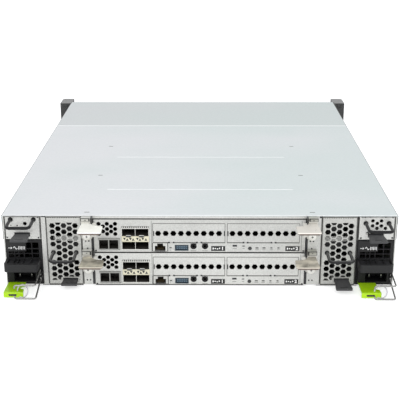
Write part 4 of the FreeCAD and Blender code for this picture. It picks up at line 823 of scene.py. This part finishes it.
columnSet = {"face": 1.0, "middle": 127.7,
             "dots": ((-1.8, 54.5), (1.8, 54.5), (0.0, 45.5), (-1.8, 6.2), (1.8, 6.2)), "dotRadius": 0.95,
             "dotSides": 14, "foot": 1.3, "lineWide": {-1: (-133.8, -132.9), 1: (137.5, 138.4)},
             "gap": (120.1, 123.0), "gapTop": 80.6, "strip": (-174.3, -173.6), "rail": (121.9, 81.6, 82.15),
             "tray": {"side": 222.0, "levels": (0.15, 0.95), "clear": 0.3, "near": 0.1},
             "wallLine": {"side": 222.7, "half": 0.3, "levels": (57.0, 84.0)},
             "caps": ((-179.0, -174.2, 1.5), (135.4, 138.0, 2.4), (178.3, 179.3, 2.4)), "capTop": 0.1,
             "wallEnd": {"x": (178.15, 179.45), "y": (None, 0.2), "colour": (0.05, 0.05, 0.05),
                         "roughness": 0.7}}


def dressColumns(s):
    y = rear + s["face"]
    foot, top = s["foot"], millimetres("bay_partitions")[1][2]
    dots, lines, gaps = [], [], []
    # the dark lines at the gaps beside the columns and along the rail, and the black gaps by the clips, are
    # painted shade between the parts
    for side in (-1, 1):
        dots += [disc(side * s["middle"] + dx, z, s["dotRadius"], y, s["dotSides"]) for dx, z in s["dots"]]
        lines.append(mark(*s["lineWide"][side], foot, top, y, "column"))
        gaps.append(mark(*sorted(side * x for x in s["gap"]), foot, s["gapTop"], y, "columnGap"))
    lines.append(mark(*s["strip"], foot, top, y, "column"))
    half, railFoot, railTop = s["rail"]
    lines.append(upright(0, half, railFoot, railTop, y, "column"))

    # a thin line of painted shadow under the tray's edge stops short of every node that reaches down to it
    edge = millimetres("chassis_tray")[0][1]
    tray = s["tray"]
    start, stop, (under, level), clear = -tray["side"], tray["side"], tray["levels"], tray["clear"]
    for low, high in sorted(millimetres(node) for node in nodes if node != "chassis_tray"):
        if low[1] < edge + tray["near"] and low[2] < level and start < stop:
            if low[0] - clear > start:
                lines.append(mark(start, low[0] - clear, under, level, edge, "tray"))
            start = max(start, high[0] + clear)
    if start < stop:
        lines.append(mark(start, stop, under, level, edge, "tray"))
    wall = s["wallLine"]
    lines += [upright(side * wall["side"], wall["half"], *wall["levels"], edge, "thin") for side in (-1, 1)]
    caps = [mark(a, b, top - drop, top - s["capTop"], y, "cap") for a, b, drop in s["caps"]]
    addPiece("columnDots", dots, "ink", "chassis")
    addPiece("columnLines", lines, "seam", "chassis")
    addPiece("columnCaps", caps, "ink", "chassis")
    addPiece("columnGaps", gaps, "ink", "chassis")
    dress("bay_partitions", overlay(makeFinish("partition", finishSet["steel"]), [s["wallEnd"]], (0, y, 0)))


dressColumns(columnSet)

fanSet = {"bridgeHalf": 15.0, "bridgeLevels": (48.6, 54.6),
          "inset": 0.2, "foot": 0.02, "footHigh": 1.1, "topLine": (-1.3, -0.3), "sideInset": 0.35,
          "sideHalf": 0.25,
          "dots": {"start": 2.0, "step": 2.6, "wide": 1.1, "levels": (-1.9, -0.5), "spare": 4},
          "inside": {"x": (-18.4, 18.4), "y": (17.4, 60), "colour": (0.015, 0.015, 0.016), "roughness": 0.5,
                     "metallic": 0.0}}


def dressFan(word, s):
    case, body, name = "fan_%s_case" % word, "fan_" + word, "fan" + word.capitalize()
    (x0, _, z0), (x1, _, z1) = millimetres(case)
    centre = (x0 + x1) / 2
    bridge = upright(centre, s["bridgeHalf"], *s["bridgeLevels"], rear, "bridge")
    addPiece(name + "Bridge", [bridge], "steel", body)
    # dark lines at the module's foot, top and sides are painted shade in the gaps round it; a row of dark
    # dots runs under its top
    a, b, foot = x0 + s["inset"], x1 - s["inset"], z0 + s["foot"]
    low, high = (z1 + z for z in s["topLine"])
    edges = [mark(a, b, foot, z0 + s["footHigh"], rear, "thin"), mark(a, b, low, high, rear, "thin")]
    dot = s["dots"]
    for k in range(int((x1 - x0 - dot["spare"]) / dot["step"])):
        left = x0 + dot["start"] + dot["step"] * k
        edges.append(mark(left, left + dot["wide"], *(z1 + z for z in dot["levels"]), rear, "fanDot"))
    sides = (x0 + s["sideInset"], x1 - s["sideInset"])
    edges += [upright(x, s["sideHalf"], foot, high, rear, "thin") for x in sides]
    addPiece(name + "Edges", edges, "seam", body)
    dress(case, overlay(makeFinish(name, finishSet["fanSteel"]), [s["inside"]], (centre, rear, 0)))


for word in ("left", "right"):
    dressFan(word, fanSet)
print("columns and fans dressed")

# x counts from the middle of the supply's column; y limits of zones count from the rear face
supplySet = {
    "label": (-20.0, 2.6, 42.4, 55.2), "arrow": (-17.6, -13.0, 46.4), "shaft": (1.4, 0.4), "tip": (1.8, 1.5),
    "wave": (-11.8, -7.4, 46.4), "waveHigh": 1.5, "waveParts": 24, "waveRadius": 0.45, "waveFront": 0.35,
    "bars": (-6.2, 2.0, 44.4, 48.4), "barCount": 5, "barWide": 0.55, "barStep": 0.4,
    "baffle": (-18.2, 15.9, 30.6, 31.4), "baffleReach": (17.2, 1.0),
    "ringCentre": (2.3, 33.0, 7.6), "ringRadius": 7.2, "ringWire": 0.8, "ringParts": 40,
    "ringAcross": (0.88, -0.47, 0.0), "ringUpward": (0.17, 0.31, 0.935),
    "blades": (-6.0, 7.6), "bladeHalf": 0.5, "bladeLevels": (13.2, 15.4),
    "slot": (-13.4, -4.3), "slotFloor": (1.9, 4.0), "slotFront": (3.0, 4.6),
    # case zones: a near-black band below the visor and the darker inlet cavity are painted shade; behind the
    # face the case shows its metal
    "caseZones": (
        {"y": (-12.0, 3.0), "z": (None, 26.0), "colour": (0.0055, 0.0055, 0.006), "roughness": 0.6,
         "metallic": 0.0},
        {"y": (3.0, None), "colour": (0.45, 0.45, 0.43), "roughness": 0.4, "metallic": 0.6},
        {"x": (-11.8, 13.4), "y": (-8.2, 9.5), "z": (8.6, 24.5), "colour": (0.006, 0.006, 0.007),
         "roughness": 0.6, "metallic": 0.0}),
    # the case's foremost face painted a little lighter and the green lip's front painted brighter: painted
    # light on the faces that look towards the lamps
    "frontZone": {"y": (None, 0.1), "colour": (0.020, 0.020, 0.021), "roughness": 0.5, "metallic": 0.0},
    "lipZone": {"y": (None, 0.1), "colour": (0.50, 0.83, 0.008), "roughness": 0.34}}
batterySet = {
    "dots": {"left": ((-12.9, 73.7, 0.7), (-5.9, 73.5, 0.8), (17.9, 83.6, 0.9), (-17.9, 59.2, 0.9),
                      (17.5, 58.9, 1.0), (1.5, 84.1, 0.6), (6.5, 84.1, 0.6)),
             "right": ((-17.6, 59.0, 1.1), (17.9, 59.2, 1.1), (-14.0, 84.0, 0.8), (-8.5, 84.0, 0.6),
                       (9.0, 84.0, 0.8), (17.2, 83.8, 0.9), (-16.8, 83.8, 0.7))},
    "margin": 0.2, "sideInset": 0.45, "sideHalf": 0.35, "sides": {"left": (0, 1), "right": (1,)},
    "topInset": 0.9, "topHigh": 0.6,
    "bar": {"y": (None, -0.05), "colour": (0.011, 0.011, 0.012), "roughness": 0.3, "metallic": 0.0,
            "specular": 0.18}}


def dressSupply(word, s):
    case, body, release = "supply_%s_case" % word, "supply_" + word, "supply_%s_release" % word
    cap = word.capitalize()
    middle = sum(corner[0] for corner in millimetres("battery_%s_case" % word)) / 2

    def placed(rect):
        return middle + rect[0], middle + rect[1], rect[2], rect[3]

    addPiece("supply%sLabel" % cap, [mark(*placed(s["label"]), rear, "supplyLabel")], "labelPad", body)
    tail, tip, z = s["arrow"]
    tail, tip = middle + tail, middle + tip
    front, back, _ = layerSet["labelMark"]
    shaftEnd, half = s["shaft"]
    tipLong, tipHalf = s["tip"]
    head = [(tip - tipLong, z - tipHalf), (tip, z), (tip - tipLong, z + tipHalf)]
    marks = [mark(tail, tip - shaftEnd, z - half, z + half, rear, "labelMark"),
             plate(head, "y", rear - front, rear - back)]
    start, stop, z = s["wave"]
    count = s["waveParts"]
    line = [(middle + start + (stop - start) * k / count, rear - s["waveFront"],
             z + s["waveHigh"] * math.sin(2 * math.pi * k / count)) for k in range(count + 1)]
    marks.append(tube(line, s["waveRadius"], 8))
    start, stop, z0, z1 = placed(s["bars"])
    step = (stop - start) / s["barCount"]
    for k in range(s["barCount"]):
        left = start + step * k
        low = z0 + s["barStep"] * (k % 2)
        marks.append(mark(left, left + s["barWide"] * step, low, z1, rear, "labelMark"))
    addPiece("supply%sMarks" % cap, marks, "print", body)

    a, b, z0, z1 = placed(s["baffle"])
    far, near = s["baffleReach"]
    addPiece("supply%sBaffle" % cap, [edgedBox(a, b, rear - far, rear - near, z0, z1)], "ink", body)
    x, out, z = s["ringCentre"]
    heart = np.array((middle + x, rear - out, z))
    across, upward = np.array(s["ringAcross"]), np.array(s["ringUpward"])
    turns = 2 * math.pi * np.arange(s["ringParts"]) / s["ringParts"]
    ring = [heart + s["ringRadius"] * (math.cos(t) * across + math.sin(t) * upward) for t in turns]
    addPiece("tieRing" + cap, [tube(ring, s["ringWire"], 10, True)], "tie", release, "grey_moulding", True)
    # of the inlet's blades only small patches of nickel at their tops are drawn: painted glints
    blades = [upright(middle + x, s["bladeHalf"], *s["bladeLevels"], rear, "blade") for x in s["blades"]]
    addPiece("supply%sBlades" % cap, blades, "nickel", body)
    finish = overlay(makeFinish("supply" + cap, finishSet["black"]), s["caseZones"], (middle, rear, 0))
    dress(case, overlay(finish, [s["frontZone"]], (0, millimetres(case)[0][1], 0)))

    lip = millimetres(release)[0][1]
    finish = makeFinish("release" + cap, finishSet["green"])
    dress(release, overlay(finish, [s["lipZone"]], (0, lip, 0)))
    # dark plates behind the lip's slot and on its face just above it: painted shade of the slot
    dark = [mark(*placed(s["slot"] + s["slotFloor"]), lip, "slotFloor"),
            mark(*placed(s["slot"] + s["slotFront"]), lip, "thin")]
    addPiece("release%sSlotShade" % cap, dark, "ink", release)


def dressBattery(word, s):
    case, body, name = "battery_%s_case" % word, "battery_" + word, "battery" + word.capitalize()
    (x0, _, z0), (x1, _, z1) = millimetres(case)
    z0, z1 = z0 + s["margin"], z1 - s["margin"]
    dots = [disc((x0 + x1) / 2 + dx, z, radius, rear) for dx, z, radius in s["dots"][word]]
    addPiece(name + "Dots", dots, "ink", body)
    # dark lines at the battery's sides and top: painted shade in the gaps round it
    sides = (x0 + s["sideInset"], x1 - s["sideInset"])
    edges = [upright(sides[k], s["sideHalf"], z0, z1, rear, "thin") for k in s["sides"][word]]
    edges.append(mark(x0 + s["topInset"], x1 - s["topInset"], z1 - s["topHigh"], z1, rear, "thin"))
    addPiece(name + "Edges", edges, "seam", body)
    dress(case, overlay(makeFinish(name, finishSet["steel"]), [s["bar"]], (0, rear, 0)))


for word in ("left", "right"):
    dressSupply(word, supplySet)
    dressBattery(word, batterySet)
print("supplies and batteries dressed")

# places count from the rear face, levels from the top of the covers
coverSet = {"beads": (92.0, 230.0), "beadHalf": 113.7,
            "beadOutline": ((-1.3, -0.34), (-0.65, -0.06), (0.65, -0.02), (1.3, -0.34)),
            "dimples": ((128.0, 10.0), (128.0, 148.0), (128.0, 283.0)), "dimpleHalf": 2.9, "dimpleEdge": 0.05,
            "dimpleSpan": (0.3, 0.95), "dimpleLevels": (-0.3, -0.02),
            "screws": (40.0, 150.0, 260.0, 370.0, 430.0, 520.0), "screwDrop": 6.2, "screwSunk": 0.02,
            "screwProfile": ((3.0, 0.0), (2.4, 0.01), (0, 0.015)), "crossOut": 0.018, "crossLong": 2.2,
            "crossWide": 0.6, "crossEdge": 0.002,
            "bright": {"z": (-0.3, None), "colour": (0.97, 0.98, 0.98), "roughness": 0.4}, "seamWide": 2.4,
            "rearEdge": 1.0, "frontEdge": 1.2, "sideWide": 1.0,
            "dark": {"z": (-1.1, None), "colour": (0.20, 0.205, 0.205), "roughness": 0.5}}
earSet = {"holeSide": 232.55, "holeRise": 38.1, "sides": 28,
          "profile": ((0, 0.4), (2.75, 0.4), (3.35, 1.0), (3.35, 9.0), (4.6, 9.0), (4.6, 11.5), (4.0, 12.3),
                      (0, 12.3))}


def dressCovers(s):
    half, seam, top = millimetres("rear_cover")[1]
    beads, dimples, heads, recess = [], [], [], []
    # along each stamped bead a pale strip is painted: painted highlight
    for place in s["beads"]:
        arch = [(rear + place + step, top + level) for step, level in s["beadOutline"]]
        beads.append(plate(arch, "x", -s["beadHalf"], s["beadHalf"]))
    addPiece("coverBeadHighlights", beads, "whiteEdge", "chassis", "cover_paint")
    # dark marks at the dimples: painted shade
    low, high = (top + level for level in s["dimpleLevels"])
    for x, place in s["dimples"]:
        near, far = (rear + place + step for step in s["dimpleSpan"])
        dimples += [edgedBox(middle - s["dimpleHalf"], middle + s["dimpleHalf"], near, far, low, high,
                             s["dimpleEdge"]) for middle in (-x, x)]
    addPiece("coverDimpleShade", dimples, "softSeam", "chassis", "cover_paint")
    # a painted highlight along the covers' seam and rear edges, and a painted dark reflection along their
    # rounded sides
    origin = (0, 0, top)
    inner = half - s["sideWide"]
    sides = [dict(s["dark"], x=limits) for limits in ((None, -inner), (inner, None))]
    ends = [dict(s["bright"], y=(seam - s["seamWide"], None)),
            dict(s["bright"], y=(None, rear + s["rearEdge"]))]
    overlay(finishes["cover"], ends + sides, origin)
    overlay(finishes["frontCover"], [dict(s["bright"], y=(None, seam + s["frontEdge"]))] + sides, origin)
    for side in (-1, 1):
        for place in s["screws"]:
            x, y, z = side * (half - s["screwSunk"]), rear + place, top - s["screwDrop"]
            profile = [(radius, side * out) for radius, out in s["screwProfile"]]
            heads.append(turned(profile, (x, y, z), "x", 24))
            arms = (s["crossLong"], s["crossWide"])
            for wide, tall in (arms, arms[::-1]):
                a, b = sorted((x, x + side * s["crossOut"]))
                recess.append(edgedBox(a, b, y - wide / 2, y + wide / 2, z - tall / 2, z + tall / 2,
                                       s["crossEdge"]))
    addPiece("coverScrews", heads, "portSteel", "chassis")
    addPiece("coverScrewRecesses", recess, "ink", "chassis")


def dressEars(s):
    (_, y, z0), (_, _, z1) = millimetres("ear_left")
    middle = (z0 + z1) / 2
    places = [(side * s["holeSide"], y, middle + k * s["holeRise"]) for side in (-1, 1) for k in (-1, 1)]
    screws = [turned(s["profile"], place, "y", s["sides"]) for place in places]
    addPiece("rackScrews", screws, "ear", "chassis", "plated_steel")


dressCovers(coverSet)
dressEars(earSet)
print("covers and ears dressed")

carrierSet = {"count": 12, "lampInset": (3.0, 6.2), "lampRises": (2.2, -3.6), "lampHigh": 1.4,
              "lampEdge": 0.2, "lampReach": (-0.1, 0.2), "grooves": 6, "grooveStart": 5.0, "grooveStep": 1.9,
              "grooveWide": 0.9, "grooveHigh": 3.6, "grooveReach": (-0.1, 0.06), "grooveEdge": 0.03,
              "bezelDeep": 14.5,
              "diskZone": {"colour": (0.52, 0.52, 0.51), "roughness": 0.34, "metallic": 0.55,
                           "specular": 0.4}}


def dressCarriers(s):
    for number in range(1, s["count"] + 1):
        carrier, lever = "drive_%02d" % number, "drive_lever_%02d" % number
        low, high = millimetres(lever)
        middle = (low[2] + high[2]) / 2
        edge = millimetres(carrier)[0][0]
        x0, x1 = (edge + x for x in s["lampInset"])
        y0, y1 = (front + y for y in s["lampReach"])
        lens = [edgedBox(x0, x1, y0, y1, middle + rise, middle + rise + s["lampHigh"], s["lampEdge"])
                for rise in s["lampRises"]]
        addPiece("carrierLamps%02d" % number, lens, "opal", carrier, "carrier_moulding")
        z0, z1 = middle - s["grooveHigh"], middle + s["grooveHigh"]
        y0, y1 = (high[1] + y for y in s["grooveReach"])
        starts = [low[0] + s["grooveStart"] + k * s["grooveStep"] for k in range(s["grooves"])]
        grooves = [edgedBox(x, x + s["grooveWide"], y0, y1, z0, z1, s["grooveEdge"]) for x in starts]
        addPiece("carrierGrooves%02d" % number, grooves, "ink", lever, "carrier_moulding")
    # behind the bezel the disk's own metal shows
    bezelBack = millimetres("drive_lever_01")[1][1] - s["bezelDeep"]
    overlay(finishes["carrier"], [dict(s["diskZone"], y=(None, bezelBack))])


dressCarriers(carrierSet)
print("carriers dressed")
